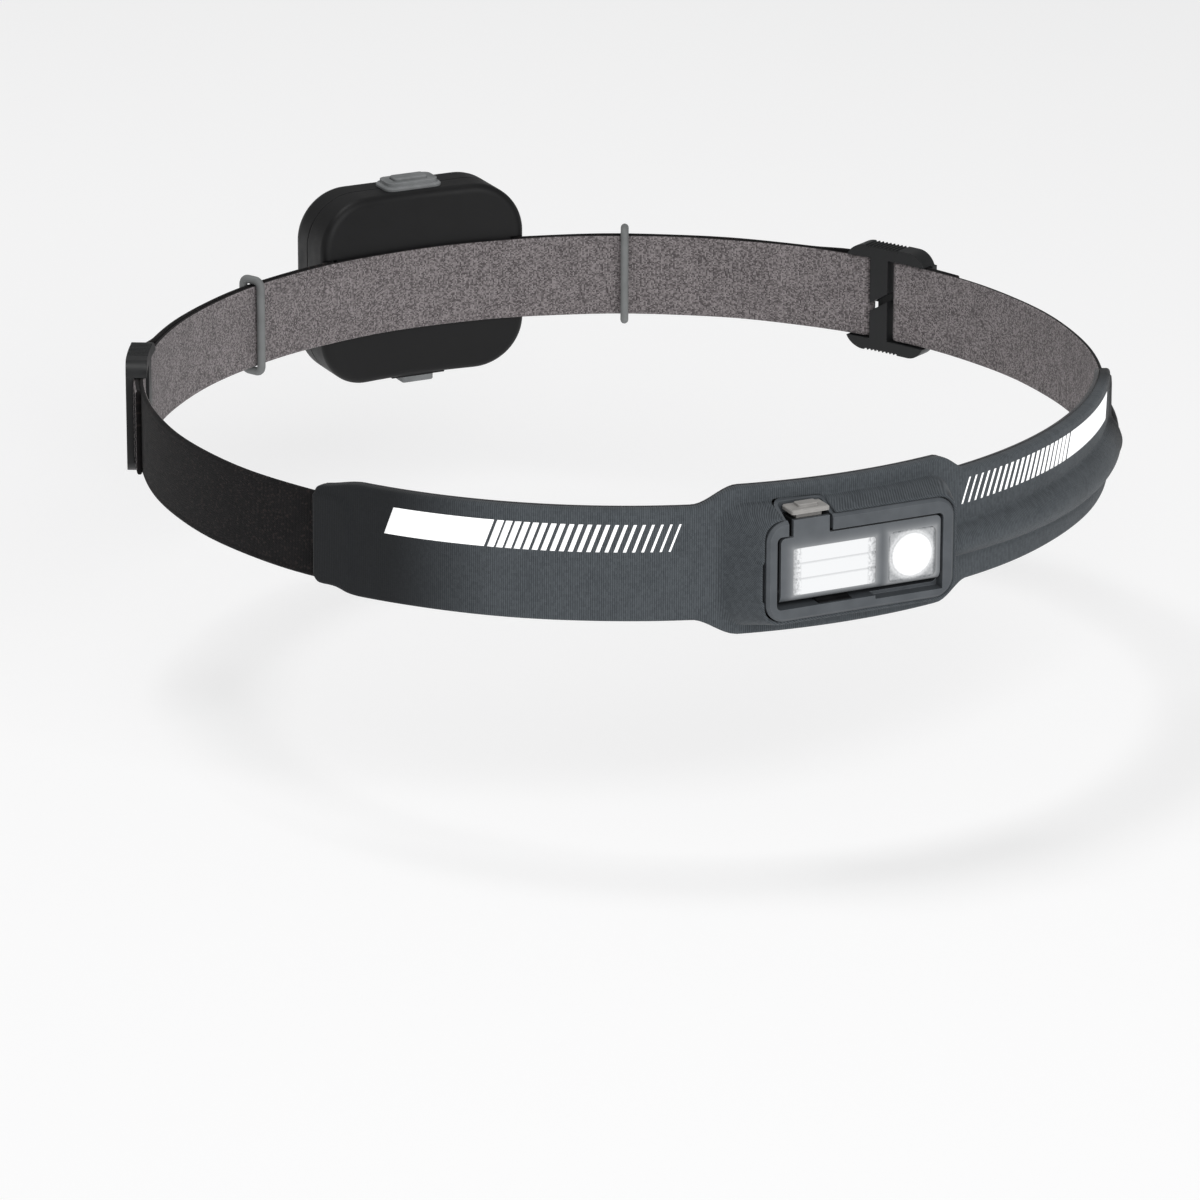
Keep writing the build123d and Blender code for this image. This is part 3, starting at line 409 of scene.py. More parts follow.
def dark_weave():
    """Near-black outer face of the elastic, with a few reddish picks."""
    look = Look("dark_weave")
    spot = look.cloth()
    along, _, up = look.parts(spot)
    _, pick, thread = look.weave(along, up, 0.45, 0.42)
    mottle = look.noise(spot, 0.25, 2.0)
    base = look.tint(mottle, (13, 12, 13), (20, 18, 19))
    colour = look.blend(look.span(pick, 0.80, 0.98), base, linear(40, 34, 33))
    normal = look.bump(look.product_plus(pick, 0.3, thread), 0.7, 0.12)
    return look.finish(
        Base_Color=colour, Roughness=0.9, Normal=normal, Specular_IOR_Level=0.15,
        Sheen_Weight=0.05, Sheen_Roughness=0.5,
    )


def panel_knit():
    """Slate moulded fabric: fine upright ribs, a diagonal twill on the dome's slopes, and painted shade
    darkening both ends.
    """
    look = Look("panel_knit")
    spot = look.cloth()
    along, out, up = look.parts(spot)
    twill = look.add("ShaderNodeAttribute", attribute_name="twill").outputs["Fac"]
    column = look.over(along, 0.48)
    rib = look.ridge(column)
    slant = look.plus(along, look.times(out, 0.8))
    slant = look.plus(slant, look.times(up, 1.1))
    diagonal = look.product_plus(look.wave(slant, 0.62), 0.5, 0.5)
    height = look.add("ShaderNodeMix", {0: twill, 2: rib, 3: diagonal}, data_type="FLOAT").outputs[0]
    stitch = look.wave(up, 0.55)
    fleck = look.speckle(column, look.over(up, 0.7))
    mottle = look.noise(spot, 0.12, 3.0)
    tone = look.product_plus(height, 0.55, look.times(fleck, 0.25))
    tone = look.product_plus(mottle, 0.3, tone)
    colour = look.tint(tone, (52, 56, 60), (82, 87, 91), 0.1, 1.0)
    # Painted shade: the knit darkens towards both ends of the panel, where the light falls off.
    left_end_shade = look.span(along, -74.0, -106.0)
    right_end_shade = look.span(along, 98.0, 117.0)
    ends = look.times(look.math("MAXIMUM", left_end_shade, right_end_shade), 0.9)
    colour = look.blend(ends, colour, linear(20, 21, 23))
    relief = look.product_plus(stitch, 0.12, height)
    normal = look.bump(relief, 0.55, 0.10)
    return look.finish(
        Base_Color=colour, Roughness=0.82, Normal=normal, Specular_IOR_Level=0.25,
        Sheen_Weight=0.08, Sheen_Roughness=0.4,
    )


def lining_knit():
    """Soft brushed lining against the forehead."""
    look = Look("lining_knit")
    spot = look.cloth()
    along, _, up = look.parts(spot)
    column = look.plus(look.over(along, 0.7), look.times(look.wave(up, 0.8), 0.25))
    loops = look.wave(column, 1.0)
    fuzz = look.noise(spot, 3.0, 4.0, 0.65)
    colour = look.tint(fuzz, (38, 38, 40), (70, 70, 73), 0.3, 0.75)
    normal = look.bump(look.product_plus(loops, 0.4, fuzz), 0.6, 0.12)
    return look.finish(
        Base_Color=colour, Roughness=0.95, Normal=normal, Specular_IOR_Level=0.1,
        Sheen_Weight=0.25, Sheen_Roughness=0.5,
    )


def moulded(name, base, light, roughness=0.5, grain=0.5, edge=0.22, specular=0.35, wear=0.5):
    """Moulded plastic or rubber: fine grain, cloudy sheen and slightly polished edges."""
    look = Look(name)
    spot = look.place()
    fine = look.noise(spot, 6.0, 2.0)
    cloudy = look.noise(spot, 0.22, 3.0)
    soft, near_edge = look.edges(edge)
    colour = look.tint(cloudy, base, light)
    rubbed = look.times(near_edge, wear)
    colour = look.blend(rubbed, colour, linear(*[min(255, 1.25 * c + 12) for c in light]))
    rough = look.span(cloudy, 0.25, 0.75, roughness - 0.05, roughness + 0.06)
    rough = look.minus(rough, look.times(rubbed, 0.12))
    normal = look.bump(fine, grain * 0.35, 0.05, soft)
    return look.finish(
        Base_Color=colour, Roughness=rough, Normal=normal, Specular_IOR_Level=specular
    )


def distance_to_box(look, place, centre, half):
    """Distance from a point to a rectangle in the x-z plane, both given as x and z."""
    shifted = look.vector("SUBTRACT", place, (centre[0], 0.0, centre[1]))
    flat = look.vector("MULTIPLY", shifted, (1.0, 0.0, 1.0))
    outside = look.vector("SUBTRACT", look.vector("ABSOLUTE", flat), (half[0], 0.0, half[1]))
    return look.vector("LENGTH", look.vector("MAXIMUM", outside, (0.0, 0.0, 0.0)))


WHITE = (1.0, 1.0, 1.0, 1.0)
LENS_TINT = linear(110, 113, 116)
FLOOD_AT = ((flood_low + flood_high) / 2)[::2]
FLOOD_HALF = ((flood_high - flood_low) / 2)[::2]
SPOT_AT = ((spot_low + spot_high) / 2)[::2]
SPOT_HALF = (spot_high[0] - spot_low[0]) / 2


def lit_face():
    """Lamp face plastic, with the glow that spills from its two lenses."""
    look = Look(moulded("lamp_face_plastic", (82, 86, 90), (88, 92, 96), 0.46, specular=0.3))
    place = look.place()
    flood = distance_to_box(look, place, FLOOD_AT, FLOOD_HALF)
    spot = distance_to_box(look, place, SPOT_AT, (SPOT_HALF, SPOT_HALF))
    nearest = look.math("MINIMUM", flood, spot)
    spill = look.math("EXPONENT", look.times(nearest, -1.15))
    return look.finish(
        Emission_Color=WHITE, Emission_Strength=look.times(spill, 0.20)
    )


def flood_glass():
    """Lit flood lens: three bright bars with thin dark grooves and a bright rim."""
    look = Look("flood_glass")
    spot = look.place()
    x, _, z = look.parts(spot)
    level = look.size(look.minus(z, FLOOD_AT[1]))
    groove = look.size(look.minus(level, FLOOD_HALF[1] / 3))
    bar = look.span(groove, 0.05, 0.34, 0.72, 1.0)
    side = look.minus(FLOOD_HALF[0], look.size(look.minus(x, FLOOD_AT[0])))
    rim = look.span(side, 0.0, 1.4, 0.5, 1.0)
    facets = look.span(look.noise(spot, 1.6, 3.0), 0.35, 0.6, 0.55, 1.0)
    sparkle = look.math("MAXIMUM", facets, look.span(side, 0.6, 2.2))
    glow = look.times(look.times(bar, rim), sparkle)
    return look.finish(
        Base_Color=LENS_TINT, Roughness=0.2, Emission_Color=WHITE,
        Emission_Strength=look.times(glow, 0.72), Normal=look.bump(glow, 0.3, 0.1),
    )


def spot_glass():
    """Lit spot lens: a bright round core in a duller square surround."""
    look = Look("spot_glass")
    spot = look.place()
    x, _, z = look.parts(spot)
    right = look.minus(x, SPOT_AT[0])
    rise = look.minus(z, SPOT_AT[1])
    reach = look.math("SQRT", look.plus(look.math("POWER", right, 2.0), look.math("POWER", rise, 2.0)))
    core = look.span(reach, 3.4, 6.4, 1.2, 0.22)
    ring = look.span(look.size(look.minus(reach, 5.0)), 0.0, 0.3, -0.18, 0.0)
    square = look.math("MAXIMUM", look.size(right), look.size(rise))
    lip = look.span(square, SPOT_HALF - 0.7, SPOT_HALF - 0.2, 0.0, -0.2)
    facets = look.span(look.noise(spot, 1.9, 3.0), 0.3, 0.65, -0.04, 0.07)
    glow = look.plus(look.plus(core, ring), look.plus(lip, facets))
    return look.finish(
        Base_Color=LENS_TINT, Roughness=0.16, Emission_Color=WHITE,
        Emission_Strength=glow, Normal=look.bump(core, 0.25, 0.1),
    )


def reflective_film():
    """Silver-white reflective transfer with a fine bead texture, and a painted glow that lights it beyond
    the lamps.
    """
    look = Look("reflective_film")
    spot = look.place()
    beads = look.noise(spot, 9.0, 1.0)
    cloudy = look.noise(spot, 0.3, 2.0)
    colour = look.tint(cloudy, (244, 245, 246), (252, 252, 252))
    # Painted light: the emission makes the film glow though it is no lamp.
    return look.finish(
        Base_Color=colour, Roughness=0.42, Normal=look.bump(beads, 0.25, 0.04),
        Emission_Color=WHITE, Emission_Strength=0.42,
    )


def metal():
    """Plated steel with faint turning marks."""
    look = Look("plated_steel")
    marks = look.noise(look.vector("MULTIPLY", look.place(), (1.0, 1.0, 9.0)), 1.2, 3.0)
    soft = look.edges(0.1)[0]
    colour = look.blend(marks, linear(150, 152, 155), linear(196, 198, 200))
    return look.finish(
        Base_Color=colour, Metallic=1.0, Roughness=look.span(marks, 0.3, 0.7, 0.24, 0.4),
        Normal=look.bump(marks, 0.1, 0.03, soft),
    )


def circuit():
    """Green solder mask with copper tracks under it."""
    look = Look("circuit_board")
    x, _, z = look.parts(look.place())
    tracks = look.speckle(look.over(x, 0.9), look.over(z, 2.4))
    colour = look.tint(tracks, (18, 74, 46), (34, 104, 66), 0.55, 0.6)
    return look.finish(Base_Color=colour, Roughness=0.35, Normal=look.bump(tracks, 0.3, 0.05))


def glowing(name, colour, strength):
    """LED package with a lit phosphor or a coloured die."""
    look = Look(name)
    cells = look.noise(look.place(), 1.4, 2.0)
    return look.finish(
        Base_Color=colour, Roughness=0.3, Emission_Color=colour,
        Emission_Strength=look.span(cells, 0.2, 0.8, strength * 0.8, strength * 1.2),
    )


def tail_glass():
    """Deep red lens with fine upright flutes."""
    look = Look("tail_glass")
    spot = look.place()
    flutes = look.wave(look.parts(spot)[0], 1.2)
    cloudy = look.noise(spot, 0.5, 2.0)
    colour = look.tint(cloudy, (110, 8, 10), (160, 14, 16))
    return look.finish(
        Base_Color=colour, Roughness=0.16, Coat_Weight=0.4, Normal=look.bump(flutes, 0.25, 0.15)
    )


heather = heather_weave()
dark = dark_weave()
knit = panel_knit()
lining_look = lining_knit()
film = reflective_film()

# Base and lighter colour, then roughness, grain, edge radius, specular level and edge wear.
MOULDED = {
    "lamp_plastic": ((75, 79, 83), (83, 87, 91), 0.46, 0.5, 0.22, 0.3),
    "button_rubber": ((140, 138, 136), (156, 154, 151), 0.62, 0.8, 0.22, 0.25),
    "grey_rubber": ((110, 112, 113), (128, 130, 131), 0.6, 0.8, 0.22, 0.25),
    "keeper_rubber": ((112, 114, 114), (122, 124, 124), 0.55, 0.8, 0.22, 0.3),
    "black_plastic": ((16, 16, 17), (20, 20, 21), 0.52, 0.9, 0.3, 0.25, 0.3),
    "slider_plastic": ((25, 26, 27), (30, 31, 32), 0.42, 0.7, 0.25, 0.3, 0.35),
    "seal_rubber": ((20, 20, 21), (28, 28, 29), 0.7, 0.8, 0.1, 0.2, 0.2),
    "cable_jacket": ((24, 25, 26), (32, 33, 34), 0.5, 0.5, 0.1, 0.3, 0.1),
    "switch_body": ((44, 44, 46), (60, 60, 62), 0.45),
    "cell_wrap": ((52, 74, 96), (62, 86, 110), 0.3),
    "sewing_thread": ((30, 29, 30), (52, 50, 52), 0.7, 1.0, 0.05, 0.2, 0.0),
}
FINISHES = {name: moulded(name, *values) for name, values in MOULDED.items()}
FINISHES.update({
    "lit_face": lit_face(),
    "flood_glass": flood_glass(),
    "spot_glass": spot_glass(),
    "led": glowing("white_led", linear(255, 246, 220), 2.0),
    "red_lens": tail_glass(),
    "red_led": glowing("red_led", linear(190, 20, 20), 0.4),
    "circuit_board": circuit(),
    "steel": metal(),
})
# Nodes that look different from the rest of their slot
SPECIAL = {
    "lamp_face": "lit_face",
    "flood_lens": "flood_glass",
    "spot_lens": "spot_glass",
    "slider_left": "slider_plastic",
    "slider_right": "slider_plastic",
    # The lamp housing is near-black so that the gap under the lamp module reads dark: painted shade.
    "lamp_housing": "slider_plastic",
    "pack_button_frame": "grey_rubber",
    "pack_button": "grey_rubber",
    "usb_cover": "grey_rubber",
    "detent_spring": "seal_rubber",
}


def dress_cad_nodes():
    """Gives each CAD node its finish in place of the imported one."""
    for part in frame["record"]["subparts"]:
        name = part["node"]
        finish = FINISHES.get(SPECIAL.get(name, part["material_slot"]), FINISHES["black_plastic"])
        mesh = frame["nodes"][name].data
        mesh.materials.clear()
        mesh.materials.append(finish)


# ---- front panel


PANEL_TIP = PANEL_END - math.degrees(ROLL / PANEL_R)
CORNER_REACH = math.degrees(CORNER_R / PANEL_R)


def end_corner(degrees):
    """How far an outline pulls in at the rounded corners of the panel's ends."""
    t = np.clip((np.abs(degrees) - (PANEL_TIP - CORNER_REACH)) / CORNER_REACH, 0, 1)
    return CORNER_R * (1 - np.sqrt(1 - t * t))


def field_share(degrees):
    """1 over the wide field behind the lamp, 0 on the wings, with soft shoulders."""
    return smooth(*FIELD_LEFT, degrees) * (1 - smooth(*FIELD_RIGHT, degrees))


def outline_high(degrees):
    flare = 2.0 * smooth(FLARE_FROM, PANEL_END, np.abs(degrees))
    raised = (FIELD_HIGH - WING_HIGH) * field_share(degrees)
    return WING_HIGH + raised - flare - end_corner(degrees) - ROLL


def outline_low(degrees):
    flare = 1.5 * smooth(FLARE_FROM, PANEL_END, np.abs(degrees))
    lowered = (FIELD_LOW - WING_LOW) * field_share(degrees)
    return WING_LOW + lowered + flare + end_corner(degrees) + ROLL


def panel_radius(degrees, z, dome=0.0):
    """Distance of the panel's face from the head's axis, with its hump, pads and slight waves."""
    past_lamp = np.clip(degrees - HUMP_FROM, 0, None)
    rise = (z - HUMP_Z + 0.02 * past_lamp) / (HUMP_HALF + 0.04 * past_lamp)
    profile = np.where(rise < 0, 1 - rise ** 2, (1 - np.abs(rise) ** 1.7) * (1.15 - 0.15 / (1 + rise)))
    profile = np.clip(profile, 0, 1) ** 0.85
    hump = HUMP_H * profile * smooth(HUMP_FROM, 14.5, degrees) * (1 - smooth(58.2, HUMP_TO, degrees))
    groove = np.exp(-(((np.abs(rise) - 1.06) / 0.14) ** 2))
    crease = -0.22 * groove * smooth(14.0, 18.0, degrees) * (1 - smooth(56.0, 59.0, degrees))
    pad_side = (PANEL_END - np.abs(degrees)) * math.radians(PANEL_R)
    corner = np.hypot(np.maximum(pad_side - 7.0, 0), np.maximum(np.abs(z) - 7.2, 0)) - 3.0
    pad = 0.5 * (1 - smooth(-0.5, 0.35, corner))
    wave = 0.05 * np.sin(np.radians(degrees) * 17 + z * 0.21) * np.cos(z * 0.33 + 1.0)
    raised = (dome ** 4 + hump ** 4) ** 0.25
    return PANEL_R + raised + pad + crease + wave


def corner_path(box, left_side, top):
    """Outline of one corner, from the top or bottom run to the side run, in two even halves."""
    left, right, low, high, radius = box
    side_x = left if left_side else right
    level = high if top else low
    run_x = TOP_LEFT if left_side else TOP_RIGHT
    side_z = SIDE_HIGH if top else SIDE_LOW
    sideways = -1 if left_side else 1
    upward = 1 if top else -1

    def turned(start, end):
        turn = np.radians(np.linspace(start, end, 12))
        x = side_x - sideways * radius * (1 - np.sin(turn))
        return np.stack([x, level - upward * radius * (1 - np.cos(turn))], axis=1)

    run_half = np.vstack([[(run_x, level)], turned(0, CORNER_SPLIT)])
    side_half = np.vstack([turned(CORNER_SPLIT, 90), [(side_x, side_z)]])
    return np.vstack([resample(run_half, CORNER_STEPS), resample(side_half, CORNER_STEPS)[1:]])


def outline_corner(left_side, top):
    """The panel's own outline where the collar meets a wing, in the same order."""
    edge_x = COLLAR_LEFT if left_side else COLLAR_RIGHT
    run_x = TOP_LEFT if left_side else TOP_RIGHT
    side_z = SIDE_HIGH if top else SIDE_LOW
    x = np.linspace(run_x, edge_x, 40)
    z = (outline_high if top else outline_low)(angle_of(x))
    shoulder = resample(np.stack([x, z], axis=1), CORNER_STEPS)
    down = np.linspace(shoulder[-1, 1], side_z, CORNER_STEPS + 1)[1:]
    return np.vstack([shoulder, np.stack([np.full(CORNER_STEPS, edge_x), down], axis=1)])


def notch_columns():
    """x of each column along the lamp's top, the share of it that the notch leaves, its corner."""
    wall = np.arange(1, 15) / 14
    turns = np.radians(np.linspace(15, 90, 6))

    def corner(edge, inward, turn):
        return edge + inward * NOTCH_R * (1 - math.cos(turn)), 0.0, NOTCH_R * (1 - math.sin(turn))

    columns = [(x, 1.0, 0.0) for x in np.linspace(TOP_RIGHT, NOTCH_RIGHT + 1.5 * NOTCH_WALL, 42)]
    columns += [(NOTCH_RIGHT + NOTCH_WALL * (1 - share), 1 - share, NOTCH_R) for share in wall]
    columns += [corner(NOTCH_RIGHT, -1, turn) for turn in turns]
    floor = np.linspace(NOTCH_RIGHT - NOTCH_R, NOTCH_LEFT + NOTCH_R, 14)
    columns += [(x, 0.0, 0.0) for x in floor[1:-1]]
    columns += [corner(NOTCH_LEFT, 1, turn) for turn in turns[::-1]]
    columns += [(NOTCH_LEFT - NOTCH_WALL * (1 - share), 1 - share, NOTCH_R) for share in wall[::-1]]
    columns.append((TOP_LEFT, 1.0, 0.0))
    return columns


TOP_COLUMNS = notch_columns()
BOTTOM_X = np.linspace(TOP_LEFT, TOP_RIGHT, 66)


def collar_ring(box):
    """One closed ring of x, z points: right side up, over the top, left side down, bottom.

    The ring follows a box, or the panel's outline where there is no box.
    """
    keys = ((False, True), (True, True), (True, False), (False, False))
    x = np.array([column[0] for column in TOP_COLUMNS])
    if box is None:
        corners = {key: outline_corner(*key) for key in keys}
        high = outline_high(angle_of(x))
        low = outline_low(angle_of(BOTTOM_X))
        left, right = COLLAR_LEFT, COLLAR_RIGHT
    else:
        corners = {key: corner_path(box, *key) for key in keys}
        left, right = box[:2]
        low = np.full(len(BOTTOM_X), box[2])
        high = np.full(len(x), box[3])
    top = np.stack([x, high], axis=1)
    bottom = np.stack([BOTTOM_X, low], axis=1)
    up = np.linspace(SIDE_LOW, SIDE_HIGH, SIDE_STEPS + 1)
    right_side = np.stack([np.full(len(up), right), up], axis=1)
    slot = np.zeros(len(up))
    if box is LIP_BOX:
        slot = 0.5 * smooth(-6.5, -6.1, up) * (1 - smooth(2.9, 3.3, up))
    left_side = np.stack([left - slot[::-1], up[::-1]], axis=1)
    return np.vstack([
        right_side[:-1],
        corners[False, True][::-1][:-1],
        top[:-1],
        corners[True, True][:-1],
        left_side[:-1],
        corners[True, False][::-1][:-1],
        bottom[:-1],
        corners[False, False][:-1],
    ])


def foot_rise(share):
    """Height share of the dome's wall: it leaves the panel softly and runs straight to the lip."""
    def ramp(value):
        return 0.03 * np.log1p(np.exp((value - 0.08) / 0.03))

    return (ramp(share) - ramp(0.0)) / (ramp(1.0) - ramp(0.0))


def collar_points():
    """Rings from the panel's outline over the dome's foot up to its lip, as x, y, z points."""
    outline = collar_ring(None)
    foot = collar_ring(FOOT_BOX)
    lip = collar_ring(LIP_BOX)
    layers = [(outline + (foot - outline) * step / FIELD_RINGS, 0.0) for step in range(FIELD_RINGS)]
    for share in np.arange(DOME_RINGS + 1) / DOME_RINGS:
        layers.append((foot + (lip - foot) * share, foot_rise(share)))
    rings = []
    for flat, rise in layers:
        x, z = flat[:, 0], flat[:, 1]
        face_y = np.sqrt(PANEL_R ** 2 - x ** 2)
        depth = face_y + (LIP_DEPTH - face_y) * rise
        degrees = np.degrees(np.arctan2(x, depth))
        dome = np.hypot(x, depth) - PANEL_R
        radius = panel_radius(degrees, z, np.maximum(dome, 0.0))
        rings.append(on_loop(radius, degrees, z))
    rings = np.array(rings)
    cut_notch(rings)
    return rings


def cut_notch(rings):
    """Pulls the columns behind the lamp button back to the notch in the fabric."""
    first = SIDE_STEPS + 2 * CORNER_STEPS
    for index, (x, open_share, corner) in enumerate(TOP_COLUMNS):
        if open_share == 1.0:
            continue
        column = rings[:, first + index].copy()
        run = run_along(column)
        notch_run = np.interp(-NOTCH_Z, -column[:, 2], run)
        inner_end = notch_run + corner
        end = inner_end + (run[-1] - inner_end) * open_share
        at = run * end / run[-1]
        for axis in range(3):
            rings[:, first + index, axis] = np.interp(at, run, column[:, axis])


def wing_points(side, shares):
    """Rows of one wing, by share of its height, with columns closer together at its rounded end."""
    start = abs(angle_of(COLLAR_RIGHT if side > 0 else COLLAR_LEFT))
    middle = np.linspace(start, PANEL_TIP - CORNER_REACH, WING_COLUMNS)
    turn = np.radians(np.linspace(0, 90, 9))[1:]
    angles = side * np.r_[middle, PANEL_TIP - CORNER_REACH + CORNER_REACH * np.sin(turn)]
    low = outline_low(angles)
    rows = []
    for share in shares:
        z = low + share * (outline_high(angles) - low)
        rows.append(on_loop(panel_radius(angles, z), angles, z))
    return np.array(rows)


def boundary_loops(mesh):
    """Ordered loops of boundary vertices."""
    following = {}
    for edge in mesh.edges:
        if edge.is_boundary:
            for vert in edge.verts:
                following.setdefault(vert, []).append(edge.other_vert(vert))
    loops = []
    unused = set(following)
    while unused:
        start = min(unused, key=lambda v: v.index)
        loop = [start]
        unused.discard(start)
        while True:
            options = [v for v in following[loop[-1]] if v in unused]
            if not options:
                break
            loop.append(options[0])
            unused.discard(options[0])
        loops.append(loop)
    return loops


def roll_edge(mesh, loop, radius, turns, run):
    """Rolls a boundary over by a turn at each point, then runs it straight inwards."""
    points = np.array([v.co for v in loop])
    normals = np.array([v.normal for v in loop])
    tangents = np.roll(points, -1, axis=0) - np.roll(points, 1, axis=0)
    tangents /= np.linalg.norm(tangents, axis=1)[:, None]
    outward = np.cross(tangents, normals)
    outward /= np.linalg.norm(outward, axis=1)[:, None]
    inner = np.array([
        sum((f.calc_center_median() for f in v.link_faces), Vector()) / len(v.link_faces) for v in loop
    ])
    away = np.einsum("ij,ij->i", outward, inner - points)
    if away.mean() > 0:
        outward = -outward
    previous = loop
    steps = 5
    for step in range(1, steps + 3):
        turn = np.radians(turns) * min(step / steps, 1.0)
        shift = radius * (np.sin(turn)[:, None] * outward - (1 - np.cos(turn))[:, None] * normals)
        straight = run * max(step - steps, 0) / 2
        heading = np.cos(turn)[:, None] * outward - np.sin(turn)[:, None] * normals
        row = [mesh.verts.new(p) for p in points + shift + straight * heading]
        for index in range(len(loop)):
            following = (index + 1) % len(loop)
            mesh.faces.new((previous[index], previous[following], row[following], row[index]))
        previous = row


def build_panel():
    """The moulded fabric front: wings, collar and dome as one skin with rolled edges."""
    rings = collar_points()
    ring_size = rings.shape[1]
    vertices = rings.reshape(-1, 3)
    faces = grid_faces(len(rings), ring_size, wrap=True)
    right_rows = [row % ring_size for row in range(-CORNER_STEPS, SIDE_STEPS + CORNER_STEPS + 1)]
    left_start = SIDE_STEPS + 3 * CORNER_STEPS + len(TOP_COLUMNS) - 1
    left_rows = list(range(left_start, left_start + SIDE_STEPS + 2 * CORNER_STEPS + 1))[::-1]
    points = [vertices]
    start = len(vertices)
    for side, rows in ((1, right_rows), (-1, left_rows)):
        heights = rings[0][rows][:, 2]
        shares = (heights - heights[0]) / (heights[-1] - heights[0])
        wing = wing_points(side, shares)
        faces += grid_faces(wing.shape[0], wing.shape[1], start)
        points.append(wing.reshape(-1, 3))
        start += wing.shape[0] * wing.shape[1]
    panel = new_object("panel_fabric", np.vstack(points), faces, [knit])
    mesh = bmesh.new()
    mesh.from_mesh(panel.data)
    bmesh.ops.remove_doubles(mesh, verts=mesh.verts, dist=0.002 * MM)
    bmesh.ops.recalc_face_normals(mesh, faces=mesh.faces)
    mesh.faces.ensure_lookup_table()
    sample = max(mesh.faces, key=lambda f: f.calc_area())
    centre = sample.calc_center_median()
    if sample.normal.dot(Vector((centre.x, centre.y, 0.0))) < 0:
        bmesh.ops.reverse_faces(mesh, faces=mesh.faces)
    mesh.normal_update()
    mesh.verts.index_update()
    for loop in boundary_loops(mesh):
        points = np.array([v.co for v in loop]) / MM
        if np.abs(points[:, 0]).max() < 30:
            at_lip = points[:, 1] < -(LIP_DEPTH - 0.3)
            roll_edge(mesh, loop, LIP_ROLL * MM, np.where(at_lip, 150.0, 95.0), 1.6 * MM)
        else:
            run = PANEL_R - ROLL - BACK_R
            roll_edge(mesh, loop, ROLL * MM, np.full(len(loop), 92.0), run * MM)
    bmesh.ops.recalc_face_normals(mesh, faces=mesh.faces)
    mesh.to_mesh(panel.data)
    mesh.free()
    panel.data.polygons.foreach_set("use_smooth", [True] * len(panel.data.polygons))
    along, height, _ = cloth_coordinates(panel).T
    degrees = np.degrees(along / PANEL_R)
    on_dome = smooth(-17.5, -15.5, degrees) * (1 - smooth(12.6, 13.6, degrees))
    store(panel, "twill", smooth(0.5, 2.2, height) * on_dome)
    thickness = panel.modifiers.new("thickness", "SOLIDIFY")
    thickness.thickness = CLOTH_T * MM
    thickness.offset = -1.0
    thickness.use_even_offset = False
    attach(panel, "headband", "front_panel")


def build_lining():
    """Thin forehead pad: crowned between its rolled edges, with a sewn line all round."""
    middle = LINING_OUT - PAD_ROLL
    turns = np.radians(np.linspace(90, -90, 7))
    spread = np.r_[0.0, 0.5, 1.0, 1.5, 1.9, 2.1, 2.3, 2.8]
    rows = []
    for degrees in np.linspace(PAD_GAP - PANEL_END, PANEL_END - PAD_GAP, 230):
        low = float(outline_low(degrees)) - ROLL
        high = float(outline_high(degrees)) + ROLL
        rolled = [(middle + PAD_ROLL * math.sin(t), PAD_ROLL * (1 - math.cos(t))) for t in turns]
        ring = [(radius, low + rise) for radius, rise in rolled]
        across = np.linspace(low + 4.5, high - 4.5, 14)
        for z in np.r_[low + 0.7 + spread, across, high - 0.7 - spread[::-1]]:
            edge = min(z - low, high - z)
            crown = PAD_CROWN * float(smooth(2.6, 6.0, edge))
            seam = SEAM_DEPTH * math.exp(-(((edge - 2.7) / 0.28) ** 2))
            ring.append((middle - PAD_ROLL - crown + seam, z))
        ring += [(radius, high - rise) for radius, rise in rolled[::-1]]
        ring = np.array(ring)
        rows.append(on_loop(ring[:, 0], degrees, ring[:, 1]))
    rows = np.array(rows)
    faces = grid_faces(rows.shape[0], rows.shape[1], wrap=True)
    count = rows.shape[1]
    faces.append(tuple(range(count)))
    faces.append(tuple(range((rows.shape[0] - 1) * count, rows.shape[0] * count))[::-1])
    lining = new_object("forehead_pad", rows.reshape(-1, 3), faces, [lining_look])
    fix_normals(lining)
    cloth_coordinates(lining)
    attach(lining, "headband", "forehead_lining")


# ---- reflective print

PRINT_LIFT = 0.02
PRINT_T = 0.08
PRINT_ROWS = 13
STRIPE_PITCH = 1.0
STRIPE_LEAN = 1.2
STRIPE_WIDEST = 0.78
STRIPE_TAPER = 0.58


def build_print(name, node, low, high, solid_from, solid_to, stripes, step):
    """Solid block and its tapering slanted stripes, laid on the panel's face."""
    spans = [((solid_from + solid_to) / 2, abs(solid_to - solid_from))]
    for count in range(stripes):
        width = STRIPE_PITCH * (STRIPE_WIDEST - STRIPE_TAPER * count / stripes)
        spans.append((solid_to + step * (0.75 + count), width))
    vertices = []
    faces = []
    for middle, width in spans:
        columns = max(2, int(width / 0.5) + 1)
        across = np.linspace(-width / 2, width / 2, columns + 1)
        for lift in (PRINT_LIFT, PRINT_LIFT + PRINT_T):
            for share in np.linspace(-1, 1, PRINT_ROWS):
                z = (low + high) / 2 + share * (high - low) / 2
                degrees = middle + across + share * STRIPE_LEAN / 2
                radius = panel_radius(degrees, np.full(len(degrees), z)) + lift
                vertices.extend(on_loop(radius, degrees, z).tolist())
        size = (columns + 1) * PRINT_ROWS
        start = len(vertices) - 2 * size
        bottom = grid_faces(PRINT_ROWS, columns + 1, start)
        faces += [face[::-1] for face in bottom] + grid_faces(PRINT_ROWS, columns + 1, start + size)
        rim = list(range(columns))
        rim += [columns + row * (columns + 1) for row in range(PRINT_ROWS - 1)]
        rim += [size - 1 - k for k in range(columns)]
        rim += [(PRINT_ROWS - 1 - row) * (columns + 1) for row in range(PRINT_ROWS - 1)]
        for here, following in zip(rim, rim[1:] + rim[:1]):
            faces.append((start + here, start + following, start + size + following, start + size + here))
    obj = new_object(name, vertices, faces, [film])
    fix_normals(obj)
    attach(obj, "headband", node)


# ---- straps


